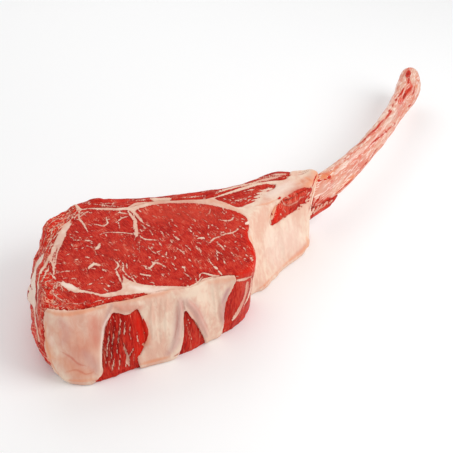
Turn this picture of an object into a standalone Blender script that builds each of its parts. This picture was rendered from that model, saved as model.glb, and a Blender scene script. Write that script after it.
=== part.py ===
"""A raw tomahawk steak: a thick rib steak with its long, cleaned rib bone.

The cut is one bone thick and lies flat on its lower cut face.  The muscles run straight
through it from face to face, so each is an outline in plan carried through the thickness.
Fat fills what is between them, covers the front wall, and wraps the bone where it leaves
the meat.  Outlines are in millimetres in the cutting plan, x to the right and y away from
the fat side; at the end the whole steak is turned so that the bone points along +X.
"""

import math

import bmesh
import bpy
import numpy as np
from mathutils import Matrix, Vector, noise

MM = 0.001

# Driving sizes, in millimetres.
THICKNESS = 56.0
GAP = 0.3
EDGE_RADIUS = 3.0

# The hand-cut wall's unevenness: the size and depth of its broad and its fine waves, and the place
# left of which the lean is loose and twice as craggy, with the width over which that sets in.
BROAD_WAVE, BROAD_DEPTH = 23.0, 1.1
FINE_WAVE, FINE_DEPTH = 8.0, 0.6
FINE_SHIFT = Vector((7.0, 3.0, 1.0))
LOOSE_LEAN_X, LOOSE_LEAN_FADE = -100.0, 12.0

# How the outlines are drawn: steps to each row of a table, rings up the wall and round its edges,
# heights of the rings under the outer fat, and how far cutters pass beyond what they cut.
STEPS_PER_POINT = 4
STEPS_ALONG_RIB = 2
WALL_RINGS = 5
EDGE_RINGS = 3
CORE_SHARES = (-0.15, 0.0, 0.25, 0.5, 0.75, 1.0, 1.15)
OVERSHOOT = 8.0
STATION_LENGTH = 12.0
MERGE_DISTANCE = 1e-6
SHARP_ANGLE = math.radians(40.0)

# The point of the cutting plan that becomes the origin, and the turn that lays the bone along +X.
PLAN_ORIGIN = (-28.0, -54.0)
TURN = math.radians(-50.0)

# The steak's rim, anticlockwise from the front left corner.  Each row is one station of the wall:
# (top x, top y, bottom x, bottom y, bulge at half height, depth of the outer fat).
# A negative depth means that the wall has no outer fat there and the lean or tail fat shows.
RIM = (
    (-116, -106, -118, -110, 5.0, -4.0),
    (-111, -117, -107, -122, 4.0, 2.5),
    (-102, -120, -98, -129, 2.0, 3.2),
    (-88, -118, -84, -129, 2.0, 2.4),
    (-74, -112, -70, -123, 2.0, 1.9),
    (-57, -108, -54, -114, 2.0, 2.0),
    (-42, -103, -40, -110, 2.0, 3.0),
    (-29, -100, -25, -102, 2.0, 2.8),
    (-19, -96, -12.5, -91, 2.5, 2.0),
    (-12, -91, -4, -86, 2.5, 2.6),
    (-2, -89, 5, -81, 2.5, 3.4),
    (9, -87, 12, -72, 1.5, 2.8),
    (16.5, -80, 15, -62, 0.0, 1.0),
    (20, -71, 14.5, -54, -1.0, -5.0),
    (19, -58, 16, -48.5, -0.5, -8.0),
    (15, -45, 20.5, -43, -1.0, -8.0),
    (16, -31, 27, -39, -2.0, -8.0),
    (21, -19, 33.5, -31, -2.0, -8.0),
    (34, -7, 42.5, -19, -1.5, -8.0),
    (48, 2, 52.5, -6, -1.0, -8.0),
    (60, 12, 59.5, 4, -0.5, -8.0),
    (65, 21, 61.5, 13.5, -1.0, -8.0),
    (65, 28, 61, 23.5, -0.5, -8.0),
    (59.5, 31.8, 56, 29.8, 0.0, -8.0),
    (48, 29, 48, 28, 1.0, -8.0),
    (32, 28.5, 33, 24, 0.0, -8.0),
    (18, 19, 18, 18, 0.0, -8.0),
    (0, 10, 0, 9, 0.0, -8.0),
    (-26, 4, -26, 3, 0.0, -8.0),
    (-50, -1, -50, -4, 0.0, -8.0),
    (-83, -3, -84, -6, 0.0, -8.0),
    (-103, -8, -104, -12, 2.0, -8.0),
    (-116, -17.5, -116, -21, 3.5, -8.0),
    (-122, -30, -121.5, -36, 5.5, -8.0),
    (-123.5, -48, -124.5, -52, 8.8, -8.0),
    (-122, -68, -124, -72, 8.8, -7.0),
    (-118, -90, -122.5, -96, 7.8, -5.0),
)

# Muscles in plan, as closed smooth outlines (x, y).
EYE_OUTLINE = (
    (-63, -19), (-46, -11), (-19, -11), (-2, -16), (11, -23), (15, -31), (14, -44),
    (18, -58), (20, -71), (16, -80), (7, -86), (-6, -86), (-15, -89), (-23, -95),
    (-34, -96), (-50, -95), (-62, -90), (-69, -80), (-69, -70), (-63, -60), (-59, -47), (-61, -32),
)
CAP_OUTLINE = (
    (-101, -18), (-84, -18), (-67, -19), (-63.5, -33), (-61.5, -47), (-65.5, -60), (-72, -70),
    (-72, -80), (-66, -97), (-76, -102), (-92, -99), (-104, -91), (-109, -82), (-111, -66),
    (-108, -48), (-103, -33),
)
OUTER_OUTLINE = (
    (-106, -10), (-112, -30), (-115, -48), (-116, -64), (-114, -80), (-107, -93), (-96, -102),
    (-80, -106), (-62, -104), (-50, -103), (-48, -108), (-60, -116), (-80, -130), (-110, -138),
    (-135, -120), (-145, -70), (-140, -20), (-112, 4),
)
BACK_STRIP_OUTLINE = (
    (-103, -14), (-86, -14.5), (-66, -14), (-54, -8), (-36, -6.5), (-16, -5), (-7, -2),
    (6, 6), (18, 12.5), (32, 16.5), (44, 20), (44, 40), (0, 30), (-60, 20), (-103, 8),
)
RIB_FINGER_OUTLINE = (
    (-8, -5), (0, -10), (8, -15), (14, -12), (22, -6), (26, 1), (33, 7), (35, 12),
    (28, 12), (20, 9.5), (8, 3), (-2, -2),
)

# Gaps in the outer fat of the front wall, each an outline of (station along RIM, height as a
# share of the thickness).  The lean behind shows through them.
FAT_GAPS = {
    "wide_gap": ((2.75, -0.1), (3.0, 0.03), (3.36, 0.14), (3.38, 0.28), (3.5, 0.46), (3.66, 0.62),
                 (3.86, 0.77), (4.12, 0.87), (4.4, 0.86), (4.62, 0.82), (4.8, 0.84), (5.0, 0.88),
                 (5.15, 0.77), (5.25, 0.56), (5.24, 0.4), (5.02, 0.27), (4.84, 0.17), (4.72, -0.1)),
    "wedge_gap": ((6.3, -0.1), (6.62, 0.12), (6.76, 0.28), (6.88, 0.44), (6.98, 0.6), (7.12, 0.74),
                  (7.28, 0.61), (7.5, 0.46), (7.7, 0.28), (7.86, 0.1), (7.8, -0.1)),
    "end_gap": ((9.25, -0.1), (9.34, 0.2), (9.6, 0.43), (10.0, 0.63), (10.38, 0.76), (10.66, 0.88),
                (11.1, 1.1), (12.6, 1.1), (13.2, 0.5), (13.2, -0.1)),
}

# Lean set into the wall, each as (depth below the wall, outline as for a gap): behind the wedge
# gap in the outer fat, and on the tail's sloping wall.
INLAYS = {
    "front_lean": (9.0, ((6.05, -0.1), (6.4, 0.15), (6.62, 0.42), (6.8, 0.64), (7.02, 0.8),
                         (7.24, 0.8), (7.5, 0.62), (7.8, 0.42), (8.04, 0.2), (8.05, -0.1))),
    "tail_lean": (7.0, ((17.7, 0.69), (17.78, 0.8), (18.0, 0.89), (18.4, 0.945), (18.8, 0.93),
                        (19.2, 0.955), (19.7, 0.955), (20.15, 0.94), (20.3, 0.87), (19.95, 0.81),
                        (19.65, 0.75), (19.25, 0.73), (18.85, 0.71), (18.5, 0.7), (18.1, 0.67))),
}

# The rib, from its end inside the meat to its tip: (x, y, z, height, thickness, lean in degrees).
RIB = (
    (-92, -12.5, 29, 14, 6, 0),
    (-86, -9.5, 29, 22, 9, 0),
    (-65, -6.5, 29.5, 25, 11, 0),
    (-45, -4.5, 29.5, 25, 11, 0),
    (-26, -0.8, 29.5, 25, 11, 0),
    (0, 5.5, 29.5, 25, 11, 0),
    (18, 13, 30, 25, 11.5, 2),
    (35, 20.5, 30, 25, 12, 4),
    (48, 24.5, 30.5, 24, 12.5, 6),
    (60, 30, 31, 22.5, 13, 8),
    (70.3, 39.8, 30.5, 23, 13.5, 9),
    (84, 56, 28.7, 23.5, 13.5, 11),
    (98, 75.2, 28.4, 22, 12.5, 13),
    (112.4, 96.7, 29, 19.5, 12, 15),
    (126.5, 120.3, 29.1, 17.5, 11.3, 17),
    (139, 146, 28.8, 19, 11.2, 19),
    (150.3, 170.5, 28, 23.5, 13.5, 21),
    (158, 190, 27, 27, 15.5, 22),
    (162.5, 202, 26.8, 26, 15.5, 22),
    (163.8, 209, 27.6, 21.5, 13, 22),
    (164.2, 213.5, 28.8, 14, 9.5, 22),
)
RIB_SIDES = 16
RIB_SQUARENESS = 2.5

# Lean that clings to the rib's lower front where the rib leaves the meat: the same columns.
SHANK = (
    (58.5, 21.5, 19.5, 8, 6, 5),
    (62.5, 26.0, 20.0, 10, 6.5, 5),
    (68.5, 33.0, 20.3, 12, 7, 6),
    (75.5, 40.5, 19.8, 11, 7.5, 8),
    (81.0, 47.0, 19.8, 7, 6, 10),
    (84.5, 51.5, 19.8, 3, 3.5, 11),
)

# The tissues: base colour and roughness of each.
COLOURS = {
    "bone": ((0.86, 0.62, 0.55, 1.0), 0.42),
    "lean": ((0.56, 0.05, 0.04, 1.0), 0.38),
    "fat": ((0.90, 0.74, 0.62, 1.0), 0.48),
}


# ---------------------------------------------------------------- curves and lofts


def smooth_loop(points, steps):
    """A closed Catmull-Rom curve through the rows of points, with this many steps a row."""
    rows = np.asarray(points, float)
    before, after, beyond = np.roll(rows, 1, 0), np.roll(rows, -1, 0), np.roll(rows, -2, 0)
    t = (np.arange(steps) / steps)[None, :, None]
    p0, p1, p2, p3 = (a[:, None, :] for a in (before, rows, after, beyond))
    curve = 0.5 * (2 * p1 + (p2 - p0) * t + (2 * p0 - 5 * p1 + 4 * p2 - p3) * t**2
                   + (3 * p1 - p0 - 3 * p2 + p3) * t**3)
    return curve.reshape(-1, rows.shape[1])


def smooth_path(points, steps):
    """An open Catmull-Rom curve through the rows of points."""
    rows = np.asarray(points, float)
    ends = np.vstack([2 * rows[0] - rows[1], rows, 2 * rows[-1] - rows[-2]])
    curve = [
        0.5 * (2 * b + (c - a) * t + (2 * a - 5 * b + 4 * c - d) * t**2 + (3 * b - a - 3 * c + d) * t**3)
        for a, b, c, d in zip(ends, ends[1:], ends[2:], ends[3:])
        for t in np.arange(steps) / steps
    ]
    return np.array([*curve, rows[-1]])


def outward(loop, reach=1):
    """Unit normals of an anticlockwise loop in plan, pointing out, evened over some reach."""
    along = np.roll(loop, -reach, 0) - np.roll(loop, reach, 0)
    normal = np.column_stack([along[:, 1], -along[:, 0]])
    return normal / np.linalg.norm(normal, axis=1, keepdims=True)


def is_anticlockwise(loop):
    """Whether the loop runs anticlockwise, from the sign of its area."""
    after = np.roll(loop, -1, 0)
    return float(np.sum(loop[:, 0] * after[:, 1] - after[:, 0] * loop[:, 1])) > 0


def face_outwards(bm):
    """Makes every face of a closed bmesh point out."""
    bmesh.ops.recalc_face_normals(bm, faces=bm.faces)
    if bm.calc_volume(signed=True) < 0:
        bmesh.ops.reverse_faces(bm, faces=bm.faces)


def on_bench(name, data):
    """A new object among the cutters, where every solid starts out."""
    obj = bpy.data.objects.new(name, data)
    obj.display_type = "WIRE"
    obj.hide_render = True
    bpy.data.collections["cutters"].objects.link(obj)
    return obj


def new_object(name, bm):
    """An object at the origin that holds this bmesh, which is in millimetres."""
    bmesh.ops.scale(bm, vec=(MM, MM, MM), verts=bm.verts)
    face_outwards(bm)
    mesh = bpy.data.meshes.new(name)
    bm.to_mesh(mesh)
    bm.free()
    return on_bench(name, mesh)


def loft(name, rings):
    """A closed solid through rings of equal length, whose first and last ring are filled."""
    bm = bmesh.new()
    made = [[bm.verts.new(p) for p in ring] for ring in rings]
    for lower, upper in zip(made, made[1:]):
        for i, corner in enumerate(lower):
            j = (i + 1) % len(lower)
            bm.faces.new((corner, lower[j], upper[j], upper[i]))
    bm.faces.new(made[0])
    bm.faces.new(made[-1])
    return new_object(name, bm)


def prism(name, outline, grow, low, high):
    """A plan outline as a 2D curve, grown outwards, filled and carried from low to high."""
    loop = smooth_loop(outline, STEPS_PER_POINT)
    if not is_anticlockwise(loop):
        loop = loop[::-1]
    loop = loop + outward(loop) * grow
    curve = bpy.data.curves.new(name, "CURVE")
    curve.dimensions = "2D"
    curve.fill_mode = "BOTH"
    curve.extrude = (high - low) / 2 * MM
    spline = curve.splines.new("POLY")
    spline.points.add(len(loop) - 1)
    spline.use_cyclic_u = True
    for point, (x, y) in zip(spline.points, loop):
        point.co = (x * MM, y * MM, 0, 1)
    source = on_bench(name + "_curve", curve)
    bpy.context.view_layer.update()
    mesh = bpy.data.meshes.new_from_object(source.evaluated_get(bpy.context.evaluated_depsgraph_get()))
    bpy.data.objects.remove(source)
    bm = bmesh.new()
    bm.from_mesh(mesh)
    bmesh.ops.remove_doubles(bm, verts=bm.verts, dist=MERGE_DISTANCE)
    bmesh.ops.translate(bm, vec=(0, 0, (high + low) / 2 * MM), verts=bm.verts)
    face_outwards(bm)
    bm.to_mesh(mesh)
    bm.free()
    return on_bench(name, mesh)


# ---------------------------------------------------------------- the steak's outer form


def roughness(x, y, z):
    """The wall's hand-cut unevenness, in millimetres: the loose lean of the left wall is craggier."""
    place = Vector((x, y, z))
    broad = BROAD_DEPTH * noise.noise(place / BROAD_WAVE)
    fine = FINE_DEPTH * noise.noise(place / FINE_WAVE + FINE_SHIFT)
    loose = min(max((LOOSE_LEAN_X - x) / LOOSE_LEAN_FADE, 0.0), 1.0)
    return (1.0 + loose) * (broad + fine)


def rim_at(share, grow):
    """The rim in plan at this share of the thickness, moved outwards by grow at each station."""
    rows = smooth_loop(RIM, STEPS_PER_POINT)
    loop = rows[:, 2:4] * (1 - share) + rows[:, 0:2] * share
    bulge = rows[:, 4] * 4 * share * (1 - share)
    return loop + outward(loop) * (bulge + grow)[:, None]


def body():
    """The whole steak without its rib, as rings from the lower cut face to the upper one."""
    even = np.zeros(len(RIM) * STEPS_PER_POINT)
    turns = np.linspace(0, math.pi / 2, EDGE_RINGS)
    levels = [(EDGE_RADIUS * (1 - math.cos(a)), EDGE_RADIUS * (math.sin(a) - 1)) for a in turns]
    heights = np.linspace(EDGE_RADIUS, THICKNESS - EDGE_RADIUS, WALL_RINGS + 2)
    walls = [(height, 0.0) for height in heights[1:-1]]
    top = [(THICKNESS - h, inset) for h, inset in reversed(levels)]
    rings = []
    for height, inset in [*levels, *walls, *top]:
        loop = rim_at(height / THICKNESS, even + inset)
        level = min(max(height, EDGE_RADIUS), THICKNESS - EDGE_RADIUS)
        rough = np.array([roughness(x, y, level) for x, y in rim_at(level / THICKNESS, even)])
        loop = loop + outward(loop, STEPS_PER_POINT) * rough[:, None]
        rings.append([(x, y, height) for x, y in loop])
    return loft("body", rings)


def core():
    """What lies inside the outer fat: the body drawn in by the fat's depth, and past it elsewhere."""
    depth = smooth_loop(RIM, STEPS_PER_POINT)[:, 5]
    rings = []
    for share in CORE_SHARES:
        loop = rim_at(min(max(share, 0.0), 1.0), -depth)
        rings.append([(x, y, share * THICKNESS) for x, y in loop])
    return rings


def grown(rings, by):
    """These rings moved outwards in plan."""
    made = []
    for ring in rings:
        loop = np.array(ring)[:, :2]
        loop = loop + outward(loop) * by
        made.append([(x, y, z) for (x, y), (_, _, z) in zip(loop, ring)])
    return made


def wall_block(name, outline, inner, outer, grow):
    """A block that follows the wall, from inner to outer, round an outline of (station, share)."""
    flat = [(station * STATION_LENGTH, share * THICKNESS) for station, share in outline]
    block = prism(name, flat, grow, inner, outer)
    even = np.zeros(len(RIM) * STEPS_PER_POINT)
    for vertex in block.data.vertices:
        run, height, offset = vertex.co / MM
        loop = rim_at(min(max(height / THICKNESS, 0.0), 1.0), even)
        loop = loop + outward(loop, 2 * STEPS_PER_POINT) * offset
        place = run / STATION_LENGTH * STEPS_PER_POINT
        first = int(place) % len(loop)
        between = place - int(place)
        x, y = loop[first] * (1 - between) + loop[(first + 1) % len(loop)] * between
        vertex.co = Vector((x, y, height)) * MM
    bm = bmesh.new()
    bm.from_mesh(block.data)
    face_outwards(bm)
    bm.to_mesh(block.data)
    bm.free()
    return block


def blade(name, rows, grow):
    """A bone-like solid along a path: upright rounded sections that lean and change in size."""
    path = smooth_path(rows, STEPS_ALONG_RIB)
    plan = path[:, :2]
    along = np.gradient(plan, axis=0)
    along /= np.linalg.norm(along, axis=1, keepdims=True)
    rings = []
    for (x, y, z, height, thickness, tilt), (ax, ay) in zip(path, along):
        across = Vector((-ay, ax, 0))
        lean = math.radians(tilt)
        up = Vector((0, 0, 1)) * math.cos(lean) + across * math.sin(lean)
        side = across * math.cos(lean) - Vector((0, 0, 1)) * math.sin(lean)
        ring = []
        for i in range(RIB_SIDES):
            a = 2 * math.pi * i / RIB_SIDES
            c, s = math.cos(a), math.sin(a)
            reach_c = math.copysign(abs(c) ** (2 / RIB_SQUARENESS), c)
            reach_s = math.copysign(abs(s) ** (2 / RIB_SQUARENESS), s)
            ring.append(Vector((x, y, z)) + side * reach_c * (thickness / 2 + grow)
                        + up * reach_s * (height / 2 + grow))
        rings.append(ring)
    return loft(name, rings)


# ---------------------------------------------------------------- cutting


def combine(target, other, operation, solver="EXACT"):
    """Applies one Boolean of another solid to target."""
    modifier = target.modifiers.new(operation, "BOOLEAN")
    modifier.operation = operation
    modifier.solver = solver
    modifier.object = other
    bpy.context.view_layer.update()
    graph = bpy.context.evaluated_depsgraph_get()
    mesh = bpy.data.meshes.new_from_object(target.evaluated_get(graph))
    target.modifiers.remove(modifier)
    target.data = mesh
    return target


def islands(bm):
    """The bodies of a bmesh, each as a list of faces."""
    left = set(bm.faces)
    found = []
    while left:
        todo = [left.pop()]
        body_faces = []
        while todo:
            face = todo.pop()
            body_faces.append(face)
            for edge in face.edges:
                for other in edge.link_faces:
                    if other in left:
                        left.remove(other)
                        todo.append(other)
        found.append(body_faces)
    return found


def volume_of(faces):
    """The volume that closed faces hold."""
    total = 0.0
    for face in faces:
        first = face.verts[0].co
        for a, b in zip(face.verts[1:], face.verts[2:]):
            total += first.dot(a.co.cross(b.co)) / 6
    return total


def keep_largest(obj):
    """Drops every loose scrap that cutting left, apart from the largest body."""
    bm = bmesh.new()
    bm.from_mesh(obj.data)
    bodies = sorted(islands(bm), key=volume_of, reverse=True)
    scraps = [face for scrap in bodies[1:] for face in scrap]
    bmesh.ops.delete(bm, geom=scraps, context="FACES")
    bmesh.ops.dissolve_degenerate(bm, dist=MERGE_DISTANCE, edges=bm.edges)
    bmesh.ops.triangulate(bm, faces=bm.faces)
    bm.to_mesh(obj.data)
    bm.free()
    return obj


def copy_of(obj, name):
    """A separate object with its own copy of the mesh."""
    made = obj.copy()
    made.data = obj.data.copy()
    made.name = name
    made.data.name = name
    bpy.data.collections["cutters"].objects.link(made)
    return made


def finish(name):
    """A material for one of the steak's tissues."""
    colour, rough = COLOURS[name]
    material = bpy.data.materials.new(name)
    material.use_nodes = True
    shader = material.node_tree.nodes["Principled BSDF"]
    shader.inputs["Base Color"].default_value = colour
    shader.inputs["Roughness"].default_value = rough
    shader.inputs["Metallic"].default_value = 0.0
    return material


# ---------------------------------------------------------------- the parts


def piece_of(stock, name, cutter):
    """The part of the stock that lies inside the cutter, as a new object."""
    return combine(copy_of(stock, name), cutter, "INTERSECT")


def cut_muscles(inside):
    """Cuts the muscles out of the steak's inside.

    Returns the parts by name, and the rooms that they and their gaps take up.
    """
    low, high = -OVERSHOOT, THICKNESS + OVERSHOOT
    muscles = {
        "outer_lean": OUTER_OUTLINE,
        "eye_muscle": EYE_OUTLINE,
        "cap_muscle": CAP_OUTLINE,
        "rib_finger": RIB_FINGER_OUTLINE,
    }
    parts = {}
    rooms = []
    for name, outline in muscles.items():
        parts[name] = piece_of(inside, name, prism(name + "_cut", outline, 0.0, low, high))
        rooms.append(prism(name + "_room", outline, GAP, low, high))

    # The rib splits the strip of lean behind it into an upper and a lower one.
    rib_middle = RIB[3][2]
    halves = {
        "rib_lean_upper": (rib_middle + GAP / 2, high),
        "rib_lean_lower": (low, rib_middle - GAP / 2),
    }
    for name, (bottom, top) in halves.items():
        cutter = prism(name + "_cut", BACK_STRIP_OUTLINE, 0.0, bottom, top)
        parts[name] = piece_of(inside, name, cutter)
    rooms.append(prism("back_strip_room", BACK_STRIP_OUTLINE, GAP, low, high))
    return parts, rooms


def cut_inlays(inside, rooms):
    """Cuts the lean that is set into the wall, and adds its room to the rooms."""
    parts = {}
    for name, (depth, outline) in INLAYS.items():
        part = piece_of(inside, name, wall_block(name + "_cut", outline, -depth, OVERSHOOT, 0.0))
        for room in rooms:
            part = combine(part, room, "DIFFERENCE")
        parts[name] = part
        rooms.append(wall_block(name + "_room", outline, -depth - GAP, OVERSHOOT, GAP))
    return parts


def cut_outer_fat(whole):
    """The fat that covers the front wall, open where the lean behind it shows."""
    fat_side = loft("fat_side", grown(core(), GAP))
    fat = combine(copy_of(whole, "fat_cap"), fat_side, "DIFFERENCE")
    for name, outline in FAT_GAPS.items():
        gap = wall_block(name, outline, -OVERSHOOT, OVERSHOOT / 2, 0.0)
        fat = combine(fat, gap, "DIFFERENCE", "MANIFOLD")
    return fat


def build():
    """Makes every part of the steak and turns them into the part's own frame."""
    for obj in list(bpy.data.objects):
        bpy.data.objects.remove(obj)
    scene = bpy.context.scene
    steak = bpy.data.collections.new("tomahawk_steak")
    cutters = bpy.data.collections.new("cutters")
    scene.collection.children.link(steak)
    scene.collection.children.link(cutters)

    whole = body()
    rib_room = blade("rib_room", RIB, GAP)
    inside = piece_of(whole, "inside", loft("lean_side", core()))
    inside = combine(inside, rib_room, "DIFFERENCE")
    parts, rooms = cut_muscles(inside)
    parts |= cut_inlays(inside, rooms)
    parts["shank_meat"] = combine(blade("shank_meat", SHANK, 0.0), rib_room, "DIFFERENCE")
    rooms.append(blade("shank_room", SHANK, GAP))
    seam = copy_of(inside, "seam_fat")
    for room in rooms:
        seam = combine(seam, room, "DIFFERENCE")
    parts["seam_fat"] = seam
    parts["fat_cap"] = cut_outer_fat(whole)
    parts["rib_bone"] = blade("rib_bone", RIB, 0.0)

    frame = bpy.data.objects.new("steak_frame", None)
    steak.objects.link(frame)
    turn = Matrix.Rotation(TURN, 4, "Z")
    frame.matrix_world = turn @ Matrix.Translation((-PLAN_ORIGIN[0] * MM, -PLAN_ORIGIN[1] * MM, 0))
    tissue = {"rib_bone": "bone", "seam_fat": "fat", "fat_cap": "fat"}
    finishes = {name: finish(name) for name in COLOURS}
    for name, part in parts.items():
        keep_largest(part)
        part.data.materials.clear()
        part.data.materials.append(finishes[tissue.get(name, "lean")])
        part.data.shade_smooth()
        part.data.set_sharp_from_angle(angle=SHARP_ANGLE)
        part.display_type = "TEXTURED"
        part.hide_render = False
        cutters.objects.unlink(part)
        steak.objects.link(part)
        part.parent = frame
    for cutter in list(cutters.objects):
        bpy.data.objects.remove(cutter)
    bpy.data.collections.remove(cutters)


build()
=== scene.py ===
"""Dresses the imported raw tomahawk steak: marbled muscle, outer fat, tail fat, scraped rib bone and shank meat.

All shaping is done in plan millimetres: X to the right of the portrait, Y away from the viewer, Z up from the
lower cut face. The pieces are turned into frame metres when their meshes are finished.
"""

import logging
import math
from dataclasses import dataclass, field
from enum import Enum

import bmesh
import bpy
import numpy as np
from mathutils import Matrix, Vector
from mathutils.bvhtree import BVHTree


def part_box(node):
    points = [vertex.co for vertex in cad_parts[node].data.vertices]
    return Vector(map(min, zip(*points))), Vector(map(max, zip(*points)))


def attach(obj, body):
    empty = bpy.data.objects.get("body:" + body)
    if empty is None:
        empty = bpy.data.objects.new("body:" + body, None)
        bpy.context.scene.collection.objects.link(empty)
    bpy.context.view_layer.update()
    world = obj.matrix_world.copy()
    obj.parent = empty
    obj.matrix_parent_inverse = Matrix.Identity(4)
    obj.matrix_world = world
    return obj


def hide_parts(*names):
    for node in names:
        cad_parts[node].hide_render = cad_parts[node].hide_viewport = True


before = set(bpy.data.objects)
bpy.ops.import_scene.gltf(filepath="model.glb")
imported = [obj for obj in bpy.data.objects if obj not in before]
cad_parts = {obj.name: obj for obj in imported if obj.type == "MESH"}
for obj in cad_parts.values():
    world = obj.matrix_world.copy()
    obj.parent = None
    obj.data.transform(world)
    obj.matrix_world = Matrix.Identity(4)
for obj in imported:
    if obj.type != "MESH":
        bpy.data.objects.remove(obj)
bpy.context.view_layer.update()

LOG = logging.getLogger("tomahawk_steak")

# How the plan lies in the frame.
MM = 0.001
TURN = math.radians(-50)
PLAN_ORIGIN = (-28.0, -54.0)
BODY = "root"

# Sizes and places in plan millimetres.
THICKNESS = 56.0
UNDER_FACE_LEVEL = 4.0
UNDER_FACE_SHIFT = (2.0, -1.5)
UNDER_FACE_DRIFT = 4.5
RIM_CENTRE = (-70.0, -60.0, 0.0)
BORDER_REACH = 9.0
FAR_FIELD = 6.0
LINE_SPACING = 0.5
WELD_DISTANCE = 0.001

# Noise that is read at a position squashed in height is drawn out upwards.
FIBRE_BEND_SQUASH = (1, 1, 0.3)
DRIFT_SQUASH = (1, 1, 0.35)
RIM_UPRIGHT = 0.25

# Angles round the rim are measured on circles smaller than the rim, so that noise read there is drawn out along it.
RIM_STRAND_RADIUS = 14.0
RIM_THREAD_RADIUS = 26.0

# Every layer of noise has a seed of its own, and the sum is scaled back to about 1.
LAYER_SEED_STEP = 17
LAYER_GAIN = 1.3

# Large factors and shifts that scatter a lattice cell and a seed over all bits.
CELL_SCATTER = tuple(map(np.uint64, (73856093, 19349663, 83492791)))
SEED_SCATTER = (40503, 977)
LAST_SCATTER = np.uint64(1274126177)
SHIFTS = (np.uint64(13), np.uint64(16))
HASH_BITS = 0xFFFFFF

# The values that are painted on every point for the materials to read.
PAINTED = ("fat", "tone", "blush", "peach", "veil", "cream", "crack", "rag")


class Tissue(Enum):
    """What one stroke adds to the surface."""

    FAT = "fat"
    LEAN = "lean"
    # Lighter or darker muscle; a few darker lines are painted shade in gaps beside fat.
    TONE = "tone"
    BLUSH = "blush"
    PEACH = "peach"
    VEIL = "veil"
    # Pale cream of fat, also painted highlights on bone ridges, the bone's left edge and a folded fat edge.
    CREAM = "cream"
    # Thin dark lines of painted shade in creases and in gaps between tissues.
    CRACK = "crack"
    RAG = "rag"
    LIFT = "lift"
    SWELL = "swell"


class Slot(Enum):
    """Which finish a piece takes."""

    LEAN = "lean"
    FAT = "fat"
    BONE = "bone"


def to_plan(points: np.ndarray) -> np.ndarray:
    """Turns frame metres into plan millimetres.

    Args:
        points: Points in the frame, one a row.

    Returns:
        The same points in the plan.
    """
    x, y = points[:, 0] / MM, points[:, 1] / MM
    c, s = math.cos(-TURN), math.sin(-TURN)
    return np.column_stack((
        c * x - s * y + PLAN_ORIGIN[0],
        s * x + c * y + PLAN_ORIGIN[1],
        points[:, 2] / MM,
    ))


def to_frame(points: np.ndarray) -> np.ndarray:
    """Turns plan millimetres into frame metres.

    Args:
        points: Points in the plan, one a row.

    Returns:
        The same points in the frame.
    """
    x, y = points[:, 0] - PLAN_ORIGIN[0], points[:, 1] - PLAN_ORIGIN[1]
    c, s = math.cos(TURN), math.sin(TURN)
    return np.column_stack((c * x - s * y, s * x + c * y, points[:, 2])) * MM


def smoothstep(values: np.ndarray, low: float, high: float) -> np.ndarray:
    """Eases values from 0 at low to 1 at high.

    Args:
        values: Numbers to ease.
        low: Where the result leaves 0.
        high: Where the result reaches 1.

    Returns:
        The eased numbers.
    """
    t = np.clip((values - low) / (high - low), 0.0, 1.0)
    return t * t * (3 - 2 * t)


def lattice_noise(points: np.ndarray, wavelength: float, seed: int) -> np.ndarray:
    """Smooth noise from hashed lattice values.

    Args:
        points: Points, one a row.
        wavelength: Distance between lattice points.
        seed: Picks the pattern.

    Returns:
        One number from -1 to 1 a point.
    """
    scaled = points / wavelength
    cell = np.floor(scaled).astype(np.int64)
    part = scaled - cell
    part = part * part * (3 - 2 * part)
    total = np.zeros(len(points))
    for corner in range(8):
        step = np.array([corner & 1, (corner >> 1) & 1, (corner >> 2) & 1])
        key = (cell + step).astype(np.uint64)
        mixed = np.uint64(seed * SEED_SCATTER[0] + SEED_SCATTER[1])
        for axis, factor in enumerate(CELL_SCATTER):
            mixed = mixed ^ key[:, axis] * factor
        mixed = (mixed ^ (mixed >> SHIFTS[0])) * LAST_SCATTER
        mixed = (mixed ^ (mixed >> SHIFTS[1])) & np.uint64(HASH_BITS)
        value = mixed.astype(float) / (HASH_BITS // 2) - 1
        total += value * np.where(step > 0, part, 1 - part).prod(axis=1)
    return total


def layered_noise(points: np.ndarray, wavelength: float, seed: int, layers: int = 3) -> np.ndarray:
    """Adds up noise of shorter and shorter wavelength.

    Args:
        points: Points, one a row.
        wavelength: Longest wavelength.
        seed: Picks the pattern.
        layers: How many wavelengths are added.

    Returns:
        One number from about -1 to 1 a point.
    """
    total = np.zeros(len(points))
    for layer in range(layers):
        total += lattice_noise(points, wavelength / 2**layer, seed + LAYER_SEED_STEP * layer) / 2 ** (layer + 1)
    return total * LAYER_GAIN


@dataclass(frozen=True)
class Waves:
    """One kind of relief: how long and how high its waves are, and how far they are drawn out upwards."""

    length: float
    height: float
    seed: int
    layers: int = 3
    upright: float = 1.0

    def at(self, points: np.ndarray) -> np.ndarray:
        """Reads the waves.

        Args:
            points: Points, one a row.

        Returns:
            Millimetres out of the surface, one number a point.
        """
        return self.height * layered_noise(points * (1, 1, self.upright), self.length, self.seed, self.layers)


def read_pixels(line: str) -> np.ndarray:
    """Reads a line of the stroke tables.

    Args:
        line: Column and row of each pixel, such as "120,45 128,51".

    Returns:
        One pixel a row.
    """
    return np.array([pixel.split(",") for pixel in line.split()], float)


def smooth_path(points: np.ndarray, spacing: float) -> np.ndarray:
    """Runs a rounded line through points.

    Args:
        points: Corners of the line, one a row.
        spacing: Rough distance between the results.

    Returns:
        Points along the rounded line, one a row.
    """
    if len(points) == 1:
        return points.copy()
    padded = np.vstack((2 * points[0] - points[1], points, 2 * points[-1] - points[-2]))
    rows = []
    for k in range(len(points) - 1):
        a, b, c, d = padded[k : k + 4]
        count = max(2, int(np.linalg.norm(c - b) / spacing) + 1)
        t = np.arange(count)[:, None] / count
        rows.append(
            0.5 * (2 * b + (c - a) * t + (2 * a - 5 * b + 4 * c - d) * t**2 + (3 * b - a - 3 * c + d) * t**3)
        )
    return np.vstack((*rows, points[-1:]))


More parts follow.
